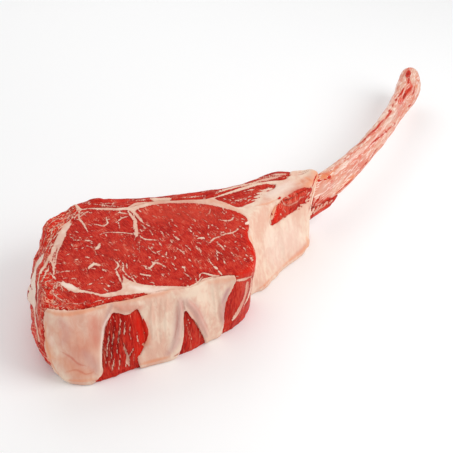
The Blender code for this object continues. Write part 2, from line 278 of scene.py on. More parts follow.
@dataclass(frozen=True)
class PhotoCamera:
    """The viewpoint of the portrait, in plan millimetres."""

    location: tuple[float, float, float] = (0.0, -567.3, 486.4)
    target: tuple[float, float, float] = (0.0, 0.0, 27.0)
    lens: float = 80.0
    sensor: float = 36.0
    frame_pixels: int = 453

    def axes(self) -> tuple[np.ndarray, np.ndarray, np.ndarray]:
        """Finds the camera's directions.

        Returns:
            Unit vectors to the right, up and forward.
        """
        forward = np.subtract(self.target, self.location)
        forward /= np.linalg.norm(forward)
        right = np.cross(forward, (0, 0, 1))
        right /= np.linalg.norm(right)
        return right, np.cross(right, forward), forward

    def rays(self, pixels: np.ndarray) -> np.ndarray:
        """Finds the view directions through pixels.

        Args:
            pixels: Column and row of each pixel.

        Returns:
            One unit vector a pixel.
        """
        right, up, forward = self.axes()
        focal = self.lens / self.sensor * self.frame_pixels
        across = (pixels[:, :1] - self.frame_pixels / 2) / focal
        down = (pixels[:, 1:] - self.frame_pixels / 2) / focal
        rays = forward + across * right - down * up
        return rays / np.linalg.norm(rays, axis=1, keepdims=True)

    def build(self) -> bpy.types.Object:
        """Adds the camera to the scene.

        Returns:
            The camera object.
        """
        data = bpy.data.cameras.new("portrait_camera")
        data.lens = self.lens
        data.sensor_width = self.sensor
        data.clip_end = 20
        camera = bpy.data.objects.new("portrait_camera", data)
        place = to_frame(np.array([self.location, self.target]))
        direction = Vector(place[1] - place[0])
        camera.location = place[0]
        camera.rotation_euler = direction.to_track_quat("-Z", "Y").to_euler()
        bpy.context.scene.collection.objects.link(camera)
        bpy.context.scene.camera = camera
        return camera


def plan_tree(names: tuple[str, ...]) -> BVHTree:
    """Builds a search tree of CAD solids.

    Args:
        names: The nodes to search.

    Returns:
        Their surfaces in plan millimetres.
    """
    points, faces, start = [], [], 0
    for name in names:
        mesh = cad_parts[name].data
        co = np.empty(len(mesh.vertices) * 3)
        mesh.vertices.foreach_get("co", co)
        points.append(to_plan(co.reshape(-1, 3)))
        faces += [[start + i for i in face.vertices] for face in mesh.polygons]
        start += len(mesh.vertices)
    return BVHTree.FromPolygons(np.vstack(points).tolist(), faces)


def distances(tree: BVHTree, points: np.ndarray, reach: float = 40.0) -> np.ndarray:
    """Measures how far points are from a surface.

    Args:
        tree: The surface.
        points: Points, one a row.
        reach: Distance given to points that are further away.

    Returns:
        One distance a point.
    """
    out = np.full(len(points), reach)
    for k, point in enumerate(points.tolist()):
        distance = tree.find_nearest(point, reach)[3]
        if distance is not None:
            out[k] = distance
    return out


@dataclass(frozen=True)
class Stroke:
    """One line of tissue on the surface, tapered to its ends."""

    kind: Tissue
    half_width: float
    amount: float
    path: np.ndarray
    taper: float = 0.65
    taper_power: float = 2.5
    reach_widths: float = 2.5
    reach_margin: float = 0.8
    core: float = 0.8

    def reach(self) -> float:
        """Distance from the line at which it has no more effect."""
        return self.half_width * self.reach_widths + self.reach_margin

    def depth_at(self, points: np.ndarray) -> tuple[np.ndarray, np.ndarray]:
        """Measures how deep points lie in the stroke.

        Args:
            points: Points in the plan, one a row.

        Returns:
            Numbers of the points within reach, and the half width there less the distance from the line.
        """
        low, high = self.path.min(axis=0) - self.reach(), self.path.max(axis=0) + self.reach()
        near = np.flatnonzero(((points >= low) & (points <= high)).all(axis=1))
        if not len(near):
            return near, np.zeros(0)
        along = np.linspace(-1, 1, len(self.path)) if len(self.path) > 1 else np.zeros(1)
        half = self.half_width * (1 - self.taper * np.abs(along) ** self.taper_power)
        depth = np.full(len(near), -np.inf)
        for point, width in zip(self.path, half):
            depth = np.maximum(depth, width - np.linalg.norm(points[near] - point, axis=1))
        return near, depth


@dataclass
class SurfaceLook:
    """The per-point values that the flesh materials read, in plan millimetres or shares."""

    fat: np.ndarray
    tone: np.ndarray
    blush: np.ndarray
    peach: np.ndarray
    veil: np.ndarray
    cream: np.ndarray
    crack: np.ndarray
    rag: np.ndarray
    lift: np.ndarray
    swell: np.ndarray

    def lay(self, stroke: Stroke, points: np.ndarray) -> None:
        """Adds one stroke.

        Args:
            stroke: The line of tissue.
            points: Points of the surface, one a row.
        """
        near, depth = stroke.depth_at(points)
        if not len(near):
            return
        if stroke.kind is Tissue.FAT:
            self.fat[near] = np.maximum(self.fat[near], depth)
        elif stroke.kind is Tissue.LEAN:
            self.fat[near] = np.minimum(self.fat[near], -depth)
        else:
            values = getattr(self, stroke.kind.value)
            full_depth = stroke.half_width * stroke.core
            values[near] += stroke.amount * smoothstep(depth, -stroke.half_width, full_depth)


# Each row holds a kind, a half width in millimetres, an amount and the lines that are laid with it. A line runs
# through pixels of the portrait, and the camera carries it onto the solids. Fat and lean cut into each other, so
# they stand first, in the order that they are laid, and take no notice of the amount.
F, L, T, B, P, V = Tissue.FAT, Tissue.LEAN, Tissue.TONE, Tissue.BLUSH, Tissue.PEACH, Tissue.VEIL
C, K, G, U, S = Tissue.CREAM, Tissue.CRACK, Tissue.RAG, Tissue.LIFT, Tissue.SWELL

# The seams between the muscles of the cut face.
SEAM_STROKES = (
    (L, 2.6, 1, "137.5,237.5 135.4,242 131.6,246.5 126.2,252.7 120,257.5 115,261",
     "116.4,261 117.4,268 119,275 122,282", "78,210.5 76.5,215 74.4,221 72.4,226 70,231 67.4,236.6",
     "65,216 61.2,223 57,230 53.6,236.6 51,243 49.4,249"),
    (L, 3.0, 1, "73,206 71.5,212 68,218 64,222.5"),
    (L, 1.0, 1, "63,243 59.4,251 58.2,260 57.6,268 58,274"),
    (L, 2.2, 1, "55,274.5 57.5,278.5 61.5,281.5"),
    (L, 2.0, 1, "80,287.6 86,289 92,290.6 99,292 106,292.6"),
    (L, 1.9, 1, "78,294 85,295.2 92,296.6 99,297.6 106,298.6"),
    (L, 1.4, 1, "94,201 108,202 122,203 134,202"),
    (F, 0.75, 1, "78,208 83,209 97,208 103,209 113,209.6 123,210 128,209"),
    (F, 1.5, 1, "126,209 132,206 138,204 150,203 165,202 185,203"),
    (F, 1.9, 1, "70.5,224 66,229 62.5,234 60.5,239 57.5,244 55.5,249"),
    (F, 1.4, 1, "56,246 54.4,255 53.6,262 54,268 54.6,274"),
    (L, 0.4, 1, "56,248 53.6,255 52,263", "57.4,246 55.4,254 54.2,264"),
    (F, 0.7, 1, "78,208 79,213 79.2,219 83.3,224 88.3,232.5"),
    (F, 0.45, 1, "78.3,211.7 82.5,215",
     "118.3,258 121.7,262 123.3,266 122.5,270 126,274 128,276 132.5,279 136,282"),
    (F, 1.2, 1, "128,211.5 131,216.5 135,221 135,227 135,235"),
    (F, 0.5, 1, "117.5,212.5 127.5,214", "203,276.6 199,281.8 192.7,286 186.5,286"),
    (F, 0.55, 1, "129,216.7 122.5,218 117.5,221.7 115,222.5"),
    (F, 0.4, 1, "118.3,221.7 118.3,224.5", "133.3,210 137.5,215 141,219"),
    (F, 0.95, 1, "131,210 136.7,216 143.3,223.3"),
    (F, 0.65, 1, "113.3,259 117.5,264 118,267 115.5,270 117.5,274 120,278 122,283 125,286"),
    (F, 2.2, 1, "62,284 68,286 73,288.5 78,290"),
    (F, 0.8, 1, "77.5,290 87.5,292 96.7,294 103,296 112.5,296 121,293.5 125,291"),
    (F, 2.3, 1, "124,289 130,288 136,288 143,289"),
    (F, 0.75, 1, "199.9,277.7 200,274.6 203,273 208,274 213.3,275.6 223.7,276.6 239,276.6"),
    (F, 0.9, 1, "245.4,224 248.5,223"),
    (F, 0.6, 1, "131,274 135,282 141,285.5 148,287 156,287 165,288"),
    (B, 2.6, 0.3, "140,203.6 156,203.6 175,202 195,200.4 212,201 226,206 238,211.6 247,219"),
    (B, 1.4, 0.4, "84,207 100,208 118,209"),
    (B, 2.0, 0.3, "62,236 57,246 54.6,258 54.6,270"),
    (P, 1.6, 0.35, "205,200 222,204 236,210.6 246,218"),
    (V, 1.6, 0.25, "69,226 62,236 57,248"),
    (C, 1.6, 0.3, "70.5,224 66,229 62.5,234 60.5,239 57.5,244"),
    (C, 2.0, 0.8, "130,287 140,289 152,291 165,289"),
    (C, 1.6, 0.8, "63,284.5 69,286.5 75,289.5"),
    # The K rows are thin lines of painted shade in the gaps along the seams.
    (K, 0.4, 0.8, "64,291.6 70,291.8"),
    (K, 0.35, 0.7, "204,276 201,281 196,285.5"),
    (K, 0.4, 0.6, "138,245 139,251"),
    (G, 4.0, 1, "76,206 73,212 68,218 61,223 55,231"),
)

# Marbling of the eye muscle.
EYE_STROKES = (
    (F, 0.5, 1, "139,232.5 141,236.7 145,239.2 150,239.6 156,240 161,239.4", "177,249.8 181.3,251.3 185.4,255",
     "180.3,279 181.5,279.4", "210.2,209.5 209.2,213.6 206,214.6", "192.7,218.8 195.8,222",
     "152.4,215.7 156.5,217.7"),
    (F, 0.75, 1, "174,236.3 178.2,239.4 180.3,240.5"),
    (F, 0.44, 1, "185.4,245 191.6,250.8", "222.6,231.7 226.8,234.3", "151.3,260 153.4,263.2 155.5,261 159.6,259.6",
     "209.2,225 209.2,229", "174,225 177.2,227"),
    (F, 0.94, 1, "197.8,239 203,238.4 205,239.4"),
    (F, 0.56, 1, "207,243.6 210.2,242.5 213.3,239.4 217.5,237.4 221,236.3", "216.4,242.5 220.6,245.6 224.7,250",
     "180.3,266.3 185.4,267.3", "177.2,213.6 181.3,214.6"),
    (F, 0.62, 1, "220.6,236.3 225.7,234.3 234,232.2 240.2,228", "235,242 236.4,241.6",
     "141,265.3 145,266.3 148.2,269.4 152.4,266.3 155.5,263.2 158.6,263.2 166,267.3",
     "234,215.7 232,219.8 226.8,221.4 218.5,219.8"),
    (F, 0.38, 1, "238,245.6 241.2,245.6", "209,261 213.3,266.3", "155.5,253 160.6,250.8", "151,251 156,254",
     "183.4,272.5 189.6,276.6", "168,219.8 171,219.8", "161.7,216.7 166.8,216.7", "240.2,262 242.3,265.3",
     "243.3,260 246.4,262", "188,229 192,233", "165,232 169,236"),
    (F, 0.88, 1, "213.3,266.3 217.5,269.4"),
    (F, 0.69, 1, "140,273.5 144,275 151.3,276"),
    (F, 0.4, 1, "126,263 127,270", "196,246 199,251", "223,260 226,265", "243,247 246,252", "186,213 190,217",
     "197,231 201,234", "216,253 218,257"),
    (F, 0.35, 1, "147,248 150,247", "170,262 175,266", "188,258 191,262", "231,252 234,257", "146,224 151,227",
     "222,212 226,215", "160,273 166,275"),
    (F, 0.7, 1, "245.2,223.4 248.5,221.6"),
    (T, 5.0, -0.4, "196,258 212,257 226,256 238,254"),
    (T, 4.0, -0.3, "168,252 178,256"),
    (T, 3.4, 1.0, "247.5,229 248,236 252,246 255.6,258 253.5,267 247,273 238,275"),
    (T, 2.0, 0.5, "137,225 137,231"),
    (T, 1.4, 0.5, "162,245 167,248"),
    (T, 1.6, 0.4, "226,210 238,214 247,219"),
    (B, 9.0, 1.6, "150,217 170,213 195,213 215,217"),
    (C, 0.9, 0.9, "245.2,223.4 248.5,221.6"),
)

# Marbling of the cap muscle.
CAP_STROKES = (
    (F, 0.56, 1, "106.7,217 107.5,222.5 104.2,225.8 98.3,225 91.7,224"),
    (F, 0.5, 1, "99,235 105,233 112.5,232.5 121,233 127.5,233.8 134,235", "74,240.4 81.7,240.8",
     "114,250 117.5,250.4", "94.2,264 93.3,262", "128,256.6 129.6,256.2", "101.7,269 106.7,272"),
    (F, 0.75, 1, "84.2,240.8 90.8,241.7", "107.5,285.4 110,286.3"),
    (F, 0.38, 1, "79.2,236.7 81.7,240", "76.3,250.5 77,251.2", "65.6,248.2 66.3,247.6", "71,244 72.5,246",
     "58.3,273.3 65,271.7 73.3,271.7 75.8,270", "66,256 70,254", "85,257 90,258"),
    (F, 1.12, 1, "100,244 98.3,248 95.8,249.6"),
    (F, 0.44, 1, "110,242.5 113.3,245.8", "74.2,260.4 79.2,259.6", "64.2,263.8 66.7,264.2", "82,248.6 83,249",
     "100,278.3 103.3,277.5", "86.7,285 91.7,283.3 94.2,282.5"),
    (F, 1.25, 1, "88.3,269 91,266.5 94.2,264.5 100,265.8"),
    (T, 1.2, -0.6, "119,267 119.5,269"),
    (T, 3.0, -0.35, "70,250 78,262 84,275"),
    (T, 3.0, -0.3, "104,255 112,262"),
    (T, 1.6, 0.5, "125,219 131,222 131,230"),
    (B, 8.0, 0.8, "112,242 120,250 128,244"),
)

# The torn lean round the left rim.
RIM_STROKES = (
    (F, 0.35, 1, "46,288 52,290 55,296 59,299 65,302 68,304", "40,285 44,292 47,297"),
    (F, 0.3, 1, "53,304 55,300", "62,309 67,305", "70,305 74,304 79,304 86,303"),
    (F, 0.6, 1, "49.5,273 54,277 56.5,280", "54.6,258 50,266 45,276"),
    (F, 1.3, 1, "57,246 51,255 45,265 39.6,276"),
    (L, 1.1, 1, "50.4,263 51,269 52.4,275"),
    (L, 0.9, 1, "57,264 56.2,270 55.4,276", "57,281.6 59.6,285 62,290 66,292.4"),
    (F, 0.45, 1, "48,268 44,278 41,284", "79,219 82,215.6 88,212 91,214", "48,250 51,245 55,242"),
    (F, 0.4, 1, "45,228 54,219 62,217 70,212", "44,250 50,240 54,232"),
    (F, 0.35, 1, "50,236 53,228 60,222", "42,240 46,232", "66,222 70,216 75,213", "58,226 61,221"),
    (F, 0.5, 1, "71,219 74,214 76,210", "74,220 76,215.6 80,212.6 84,213 86,216",
     "66,219 69,214.6 74,211.6 79,209.6", "57,232 61,227.6 66,224.6 71,224", "53,240 56,235 61,231"),
    (F, 0.3, 1, "90,304 100,300 112,298"),
    (T, 1.0, -0.7, "49.6,262 47,268", "50,270 52,273"),
    (T, 2.6, 0.9, "40,280 44,286 50,293 58,299"),
    (T, 0.8, -1.0, "54.4,279 53.6,285 56,292 60,298"),
    (T, 3.0, 0.6, "48,236 56,226 66,218"),
    # A thin dark line of painted shade in the gap beside the front fat.
    (T, 1.2, -0.6, "63,292 70,293"),
    (T, 1.2, -0.5, "47,259 50,264"),
    (T, 1.6, -0.4, "57,233 52,242"),
    (T, 2.0, 0.7, "57,281 55,288 59,296 64,299"),
    (T, 1.8, 0.5, "70,300 90,299 110,298 130,298"),
    (T, 2.0, 0.5, "46,246 43,256 40,268"),
    (T, 2.0, 0.6, "80,203 95,199 108,201 125,201"),
    (G, 3.2, -0.7, "58,292 68,296 80,298 95,298"),
)

# The lean strips along the far edge.
BACK_STROKES = (
    (F, 0.45, 1, "88,204.5 100,205 112,206 124,206"),
    (F, 0.4, 1, "96,202 106,203.5 116,203", "200,193 215,190 228,187"),
    (F, 2.2, 1, "151,199 160,200 171,199"),
    (F, 0.5, 1, "176,198.5 190,197.5 205,196", "213,193 226,189.5 238,186 249,182"),
    (F, 0.9, 1, "215,194.5 225,190.5 238,186.5 252,183.5 262,182"),
    (F, 1.2, 1, "254,182.4 264,180 274,178.2 284,176.8 292,175.4"),
    (F, 1.1, 1, "254,179 264,176.4 275,175.2 287,174.6"),
    (L, 0.4, 1, "262,179 272,177 284,175.8"),
    (L, 0.9, 1, "262,186.6 268,186.2 273,185.8"),
    (F, 1.2, 1, "274,188.4 267,189.6 260,190.8"),
    (F, 1.0, 1, "270,192 263,193 257,194", "267,195.6 260.5,196.6 254.6,197.6"),
    (F, 0.8, 1, "262,199 257,199.8 252,200.6"),
    (F, 0.4, 1, "243,192 250,190 256,189", "228,200 238,200.5 246,198"),
    (F, 0.5, 1, "243,183 254,180 264,177.5 276,176"),
    (F, 0.6, 1, "275,179 284,177.6 290,176.4"),
    (L, 1.2, 1, "256,178.5 264,176 274,175.5"),
    (L, 0.9, 1, "276,179 284,177 292,175.5"),
    (L, 0.4, 1, "294,176 304,174.5 312,172.5"),
    (F, 0.4, 1, "264,178.5 274,177.5 284,175.8"),
    (L, 1.3, 1, "226,201 238,199 248,193 262,189.5 270,187"),
    (F, 0.5, 1, "256,196.5 262,194.5 266,193"),
    (F, 0.4, 1, "262,191.8 268,190.5"),
    (F, 0.3, 1, "232,197 235,197.6", "224,199 226,200", "240,202 243,201"),
    (T, 6.0, -0.35, "226,199 240,196 256,189"),
    (T, 1.6, 0.5, "182,198 196,196 205,193"),
    (B, 3.0, 0.8, "255,181 270,178 288,175.5"),
)

# The tail fat with its lean.
TAIL_STROKES = (
    (L, 1.9, 1, "281,201.5 285.5,199 291,196 297,192.5 303,190 309,188.6"),
    (F, 2.0, 1, "269.6,225 270.8,218 273.5,210.5 276.5,204"),
    (L, 0.45, 1, "270.8,211.5 272.3,215", "271.4,219.5 272,223.5"),
    (L, 1.6, 1, "311.4,191.5 309.4,196.5 305.4,201.5 300.4,206 295,210.5"),
    (F, 0.85, 1, "282.6,201 285,204.4 289.6,205.4 293.4,203.6 298.6,200.8 300.6,198 305,196.4"),
    (F, 0.6, 1, "303,197.6 305,195.6 307.5,195 309,192.6 311.8,192"),
    (F, 1.0, 1, "283.6,193.4 286.6,195.4 289.6,198"),
    (F, 0.8, 1, "290.6,190.4 292,192.4"),
    (F, 0.7, 1, "298,187 300,189.4"),
    (L, 0.9, 1, "277.6,199 281,197.4"),
    (L, 1.1, 1, "283,217.6 286.4,215.6 288.6,212.6"),
    (F, 0.4, 1, "284,209 286,213", "302.6,189.4 305,192.6", "296,193 298,197"),
    (F, 0.35, 1, "280,213 283,216.6", "289,208 291.6,211"),
    (F, 2.4, 1, "298,209 304,204.6 308.6,200 312,195.6"),
    (L, 1.0, 1, "300,200.4 303.4,198.4 305.6,198.6", "303.6,196.6 307,195.2", "300,204 303.6,202.6 307,203"),
    (L, 0.8, 1, "308.2,195.4 311.6,194", "308.4,198.6 310.4,197.4 311.6,197", "294,208 299,206.2 302.6,207",
     "321,187.5 317.6,191 314.6,196 312,203 309.5,211"),
    (L, 0.7, 1, "307.6,201.4 310,200.6"),
    (L, 0.5, 1, "297,210 301,209", "314.6,186 313.8,189.4", "312.9,194 312.2,197"),
    (L, 0.6, 1, "317.5,186 314.6,190.5 312.4,196 310.6,204", "315,174.4 314.6,178 313.8,183 312.6,187.6"),
    (L, 0.4, 1, "296,173.6 304,172.6 310,171.4", "311.4,201 310.4,205"),
    (L, 0.3, 1, "309,208 310,214"),
    (T, 2.4, 1.0, "290,195.6 284.5,198.6 280.6,204 277,212 275,221"),
    (T, 1.2, 1.0, "315,174.4 314.6,178 313.8,183 312.6,187.6"),
    (B, 5.0, 1.6, "284,208 290,203 297,197 306,191"),
    (B, 7.0, 0.22, "270,196 282,190 294,184 306,180"),
    (B, 2.6, 0.4, "304,182 310,180 313,177"),
    (B, 0.9, 0.8, "316.4,180 314.4,188 312.6,197 310.4,207"),
    (B, 0.6, 0.9, "309.6,180 310.2,181"),
    (B, 1.2, 0.5, "302,180 304,184"),
    (B, 0.35, 0.6, "272,226 273,231"),
    (B, 0.5, 0.3, "279,233 278,246 279,258"),
    (B, 0.5, 0.25, "287,228 288,242 290,254", "262,222 263,240 265,262", "298,222 299,236 300,246"),
    (B, 1.6, 0.6, "305.6,243 300,250 292,257"),
    (P, 1.0, 0.9, "271.5,222 273,214 277,206 282,200.4"),
    (P, 2.4, 0.7, "312,174 315.6,176 316,182"),
    (P, 1.3, 0.8, "317.4,176 315.4,183 313.6,191 311.6,202"),
    (P, 1.0, 0.6, "306,178 309,180"),
    (P, 0.5, 0.8, "257,205.4 268,203.5 277.5,198.7"),
    (P, 1.2, 0.8, "248.5,234 250.5,240 253,246"),
    (P, 1.0, 0.75, "253,295 262,288 273,281 287,268 297,258.5 306,250 309,242"),
    (P, 3.5, 0.5, "298,184 308,181 317,176"),
    (P, 2.0, 0.6, "304,188 311,184 316,179"),
    (P, 2.0, 0.35, "268,219 271,214 275,207"),
    (P, 2.0, 0.85, "307,238 305.6,246 299,253 290.6,259.6"),
    (P, 1.5, 0.7, "290.6,259.6 282,268.6 272,278.6 258,289.6"),
    (V, 6.0, 0.12, "266,198 280,190 294,183"),
    (V, 1.6, 0.25, "266,196 276,191 286,186"),
    (C, 9.0, 0.45, "272,232 274,245 278,262"),
    (C, 9.0, 0.4, "290,226 293,238 296,248"),
    (C, 4.0, 0.6, "270,196 280,190 292,183"),
    (G, 4.0, 0.7, "281,207 290,200.6 299,195.6 308,191"),
    (U, 1.2, 0.5, "262,228 264,248 267,268"),
    (U, 1.4, 0.5, "282,226 284,244 286,260"),
    (U, 1.1, -0.5, "273,228 274,250 277,268"),
    (U, 1.1, -0.4, "294,222 295,240 296,252"),
    (U, 1.0, -0.6, "257,205.4 268,203.5 277.5,198.7"),
    (U, 3.0, 1.6, "307.4,241 307,245"),
    (U, 1.4, 0.6, "300,177 309,175 316,174"),
)

# The outer fat and the bare lean of the front wall.
WALL_STROKES = (
    (F, 1.2, 1, "234,281 244,279.5 251,276"),
    (L, 0.9, 1, "94,381 106,378 118,373.5 130,367"),
    (L, 0.6, 1, "180,352 176.5,355 173.4,357.2"),
    (F, 0.75, 1, "123.4,341 125,349 127.6,356 128.6,364 130.4,371"),
    (F, 0.5, 1, "128,357 131,351 133.4,346.6"),
    (F, 0.4, 1, "126.4,355 126,361 125.6,366", "125,318 124.4,326 124,334", "113,356 111.6,366 110,374",
     "119,352 118.6,362 117.6,370", "134,352 133.6,359 134.4,364", "186.5,317.5 187.6,320", "185.4,323.5 187,326"),
    (F, 0.42, 1, "111,318 108.6,335 106,352 104.6,366"),
    (F, 0.45, 1, "115.6,318 113.6,334 111.4,346 109.6,360", "120.6,316 119.6,328 118,340 116,352"),
    (F, 0.35, 1, "130,322 129,330 131,338", "136,330 137,338 139,346", "188.6,321.5 190.2,324", "187,330 188.4,333",
     "192,329.5 193.4,332", "184.6,336 185.6,339"),
    (F, 0.3, 1, "190,337 192,340"),
    (L, 1.5, 1, "142.6,319 144.6,326 146,334 145.8,341 143,347"),
    (L, 0.9, 1, "139.6,352 138.6,358 137,363"),
    (F, 0.9, 1, "142,344 144.6,342", "127,367 130.6,369 134,366"),
    (F, 0.6, 1, "143.6,331 145,333"),
    (F, 3.2, 1, "41,252 38.4,259 36.4,266 35.6,272"),
    (F, 3.8, 1, "36,268 35,275 34,283 33.4,291 33.4,299 34.6,308 36,318", "34,262 32.6,270 32.6,280 32.4,290"),
    (F, 5.0, 1, "36.4,256 33.6,262 32,268"),
    (F, 6.6, 1, "33,258.6 32,262 31.2,266 30.6,270 30.8,275"),
    (L, 0.6, 1, "37.6,271 36,279 35.8,285"),
    (L, 0.4, 1, "33.4,284 33,290"),
    (L, 0.35, 1, "34.6,298 36,308 38,318"),
    (F, 0.9, 1, "45,262 40,275 38,288 37.5,300 37.5,310 39,320"),
    (F, 1.3, 1, "34.6,306 35.4,318 37.6,330 41,343"),
    (F, 0.4, 1, "41,300 42,314 43,328"),
    (L, 1.2, 1, "40.5,300 41,314 43.5,338"),
    (L, 2.6, 1, "41.6,342 45,353 49.6,362"),
    (F, 2.6, 1, "246.6,282 246,291 243,301 238,311 232,320"),
    (F, 1.2, 1, "251,276 250.6,287 247.6,298 243,308"),
    (L, 0.45, 1, "245.6,286 243,297 238.6,307"),
    (T, 3.2, -0.8, "110,320 107,340 105,364"),
    (T, 0.5, -0.9, "114,318 112.5,338 110,366", "119,318 118,340 115,368"),
    (T, 0.5, -0.8, "124,318 122.4,338 121.5,362"),
    (T, 4.0, 1.0, "138,317 141.5,330 141,345 137,358"),
    (T, 2.0, 0.7, "104,377 116,372 130,364"),
    (T, 2.0, 0.6, "177,355 190,347 204,338"),
    (T, 2.5, -0.4, "187,322 190,336"),
    (T, 2.0, -0.2, "236,288 232,305 228,320"),
    (T, 1.4, 0.6, "224,326 232,320 240,314"),
    (T, 1.5, 0.4, "42,350 48,360"),
    (B, 1.4, 0.5, "123.4,341 127.6,356 130.4,371"),
    (B, 0.5, 0.9, "182.6,300 183.4,312", "177,306 177.5,322 174.4,338", "247.6,284 246,295 241,307"),
    (B, 0.5, 0.8, "190,300 198,309 205,322 209,333"),
    (B, 2.6, 0.8, "116,306.5 126,308 136,308.4 141,307"),
    (B, 9.0, 0.42, "58,325 75,330 92,325"),
    (B, 8.0, 0.7, "68,366 82,360 96,362"),
    (B, 6.0, 0.42, "62,345 80,345 98,340"),
    (B, 4.0, 0.4, "95,322 97,334 96,346", "92,316 97,330 97,350"),
    (B, 3.6, 0.4, "72,377 86,375 96,370"),
    (B, 2.6, 0.5, "224.6,302 223.6,312 224.6,322"),
    (B, 0.6, 0.8, "60,352 70,357 78,364 86,366", "66,372 76,370 86,374 94,372"),
    (B, 1.2, 0.5, "146.4,322 149,332 149,342 146,350"),
    (B, 0.8, 0.9, "33.4,259 32,264 31.2,270"),
    (B, 0.7, 0.8, "39,256 36.6,264 34.6,272"),
    (B, 0.7, 0.9, "33,280 32.6,288 33.4,296"),
    (B, 4.0, 0.8, "248,276 247,290 243,302 237,313"),
    (B, 0.6, 0.9, "243,285 240.6,296 235.6,307 230,316"),
    (P, 6.0, 0.25, "56,330 70,338 90,350 96,366"),
    (P, 4.0, 0.45, "56,358 66,364 78,374 92,374"),
    (P, 2.4, 0.6, "50,336 50.6,348 54,360"),
    (P, 1.2, 0.85, "47,311 58,314 72,314 90,310 106,306"),
    (P, 1.5, 0.6, "112,302 130,299.5 150,295.5 170,291.5"),
    (P, 1.4, 0.9, "46,322 45.5,336 48,350 54,365 62,378"),
    (P, 1.5, 0.7, "66,380 82,381 96,379"),
    (P, 1.4, 0.8, "140,364 152,361 168,357.5"),
    (P, 2.6, 1.0, "143,328 145.4,336 143.6,345"),
    (P, 1.6, 0.9, "128,371 134,368 138,364"),
    (P, 1.0, 0.6, "150,291 158,290 166,288"),
    (P, 1.4, 0.35, "207,283 222,281 236,279"),
    (V, 3.2, 0.8, "181,300 180.5,315 178.5,332 174,346 168,354"),
    (V, 3.0, 0.7, "187,300 195,310 201.5,322 206,335"),
    (V, 2.6, 0.8, "228,290 225,300 224,312 223.5,324"),
    (V, 1.4, 0.6, "112,305 107,318 105,335"),
    (V, 3.0, 0.5, "84,352 92,362 98,372"),
    (V, 3.0, 0.4, "60,318 66,332 62,344"),
    (V, 1.2, 0.5, "230,288 225.6,296 222.6,303"),
    (C, 1.6, 0.5, "51,336 51.6,346"),
    # A painted highlight along the folded fat edge left of the first window.
    (C, 0.8, 0.8, "110,314 104.5,326 102.6,342 101,358 101,370"),
    (C, 5.0, 0.7, "33,258.6 32,263 31,269"),
    (C, 5.0, 0.9, "40,254 36.6,264 34.6,276 33.4,290 34,306"),
    # The K rows are thin lines of painted shade in the creases of the folded membranes and of the left wall.
    (K, 0.35, 0.7, "184.2,299 185,308 186.4,313"),
    (K, 0.3, 0.5, "182.6,299 179.6,310 177.6,325 172.6,340 163,352"),
    (K, 0.3, 0.45, "186.6,299 196,304 203,316 208.4,330"),
    (K, 0.3, 0.4, "228.6,292 224.6,299 222,304"),
    (K, 0.8, 0.6, "44,306 44.6,316"),
    (G, 7.0, -1, "33,258.6 32,263 31,269 31,275"),
    (G, 6.0, -1, "41,252 37,263 35,273 33.4,283 33.4,295 34.4,309"),
    (G, 8.0, -0.7, "38,296 38,318 42,342"),
    (U, 11.0, -4.2, "38.6,242 36.6,249 35.6,254 32.6,260 31.4,266 31,272"),
    (U, 8.0, -2.0, "53,215 61,211 71,207.6"),
    (U, 3.0, 1.3, "90,201.6 96,200.4 100,200.6"),
    (U, 2.4, 0.9, "106,201 110,201.4"),
    (U, 2.0, -1.4, "102.6,201 103.6,201"),
    (U, 3.5, 2.2, "309,172.6 314.6,174.6"),
    (U, 1.3, 0.9, "179,300 180.5,316 178,333 173,347", "188,301 197,311 203,324 207,336"),
    (U, 1.2, -0.7, "183,302 184,318 181.5,336"),
    (U, 1.0, -0.6, "186,305 192,313 198,326"),
    (U, 1.2, 0.7, "222,297 221,309 223,322"),
    (U, 1.2, 0.6, "113,306 108.5,320 106,338 104,358"),
    (U, 1.5, 0.8, "114,305 124,309 134,308 142,304"),
    (U, 1.0, -0.5, "160,300 158,320 160,342"),
    (U, 1.0, -0.4, "206,292 209,310 210,326"),
    (U, 0.8, 0.5, "152,300 151,318 153,340", "167,298 166,316 166,336", "214,290 216,306 217,320"),
    (U, 3.0, 1.8, "73.6,207 76,206"),
    (U, 2.6, 2.4, "33.5,285 31.5,291 31.5,297 33,302"),
    (S, 7.0, 1.5, "107,318 105,340 103,368", "120,318 119,340 117,366", "133,318 134,340 131,362"),
)

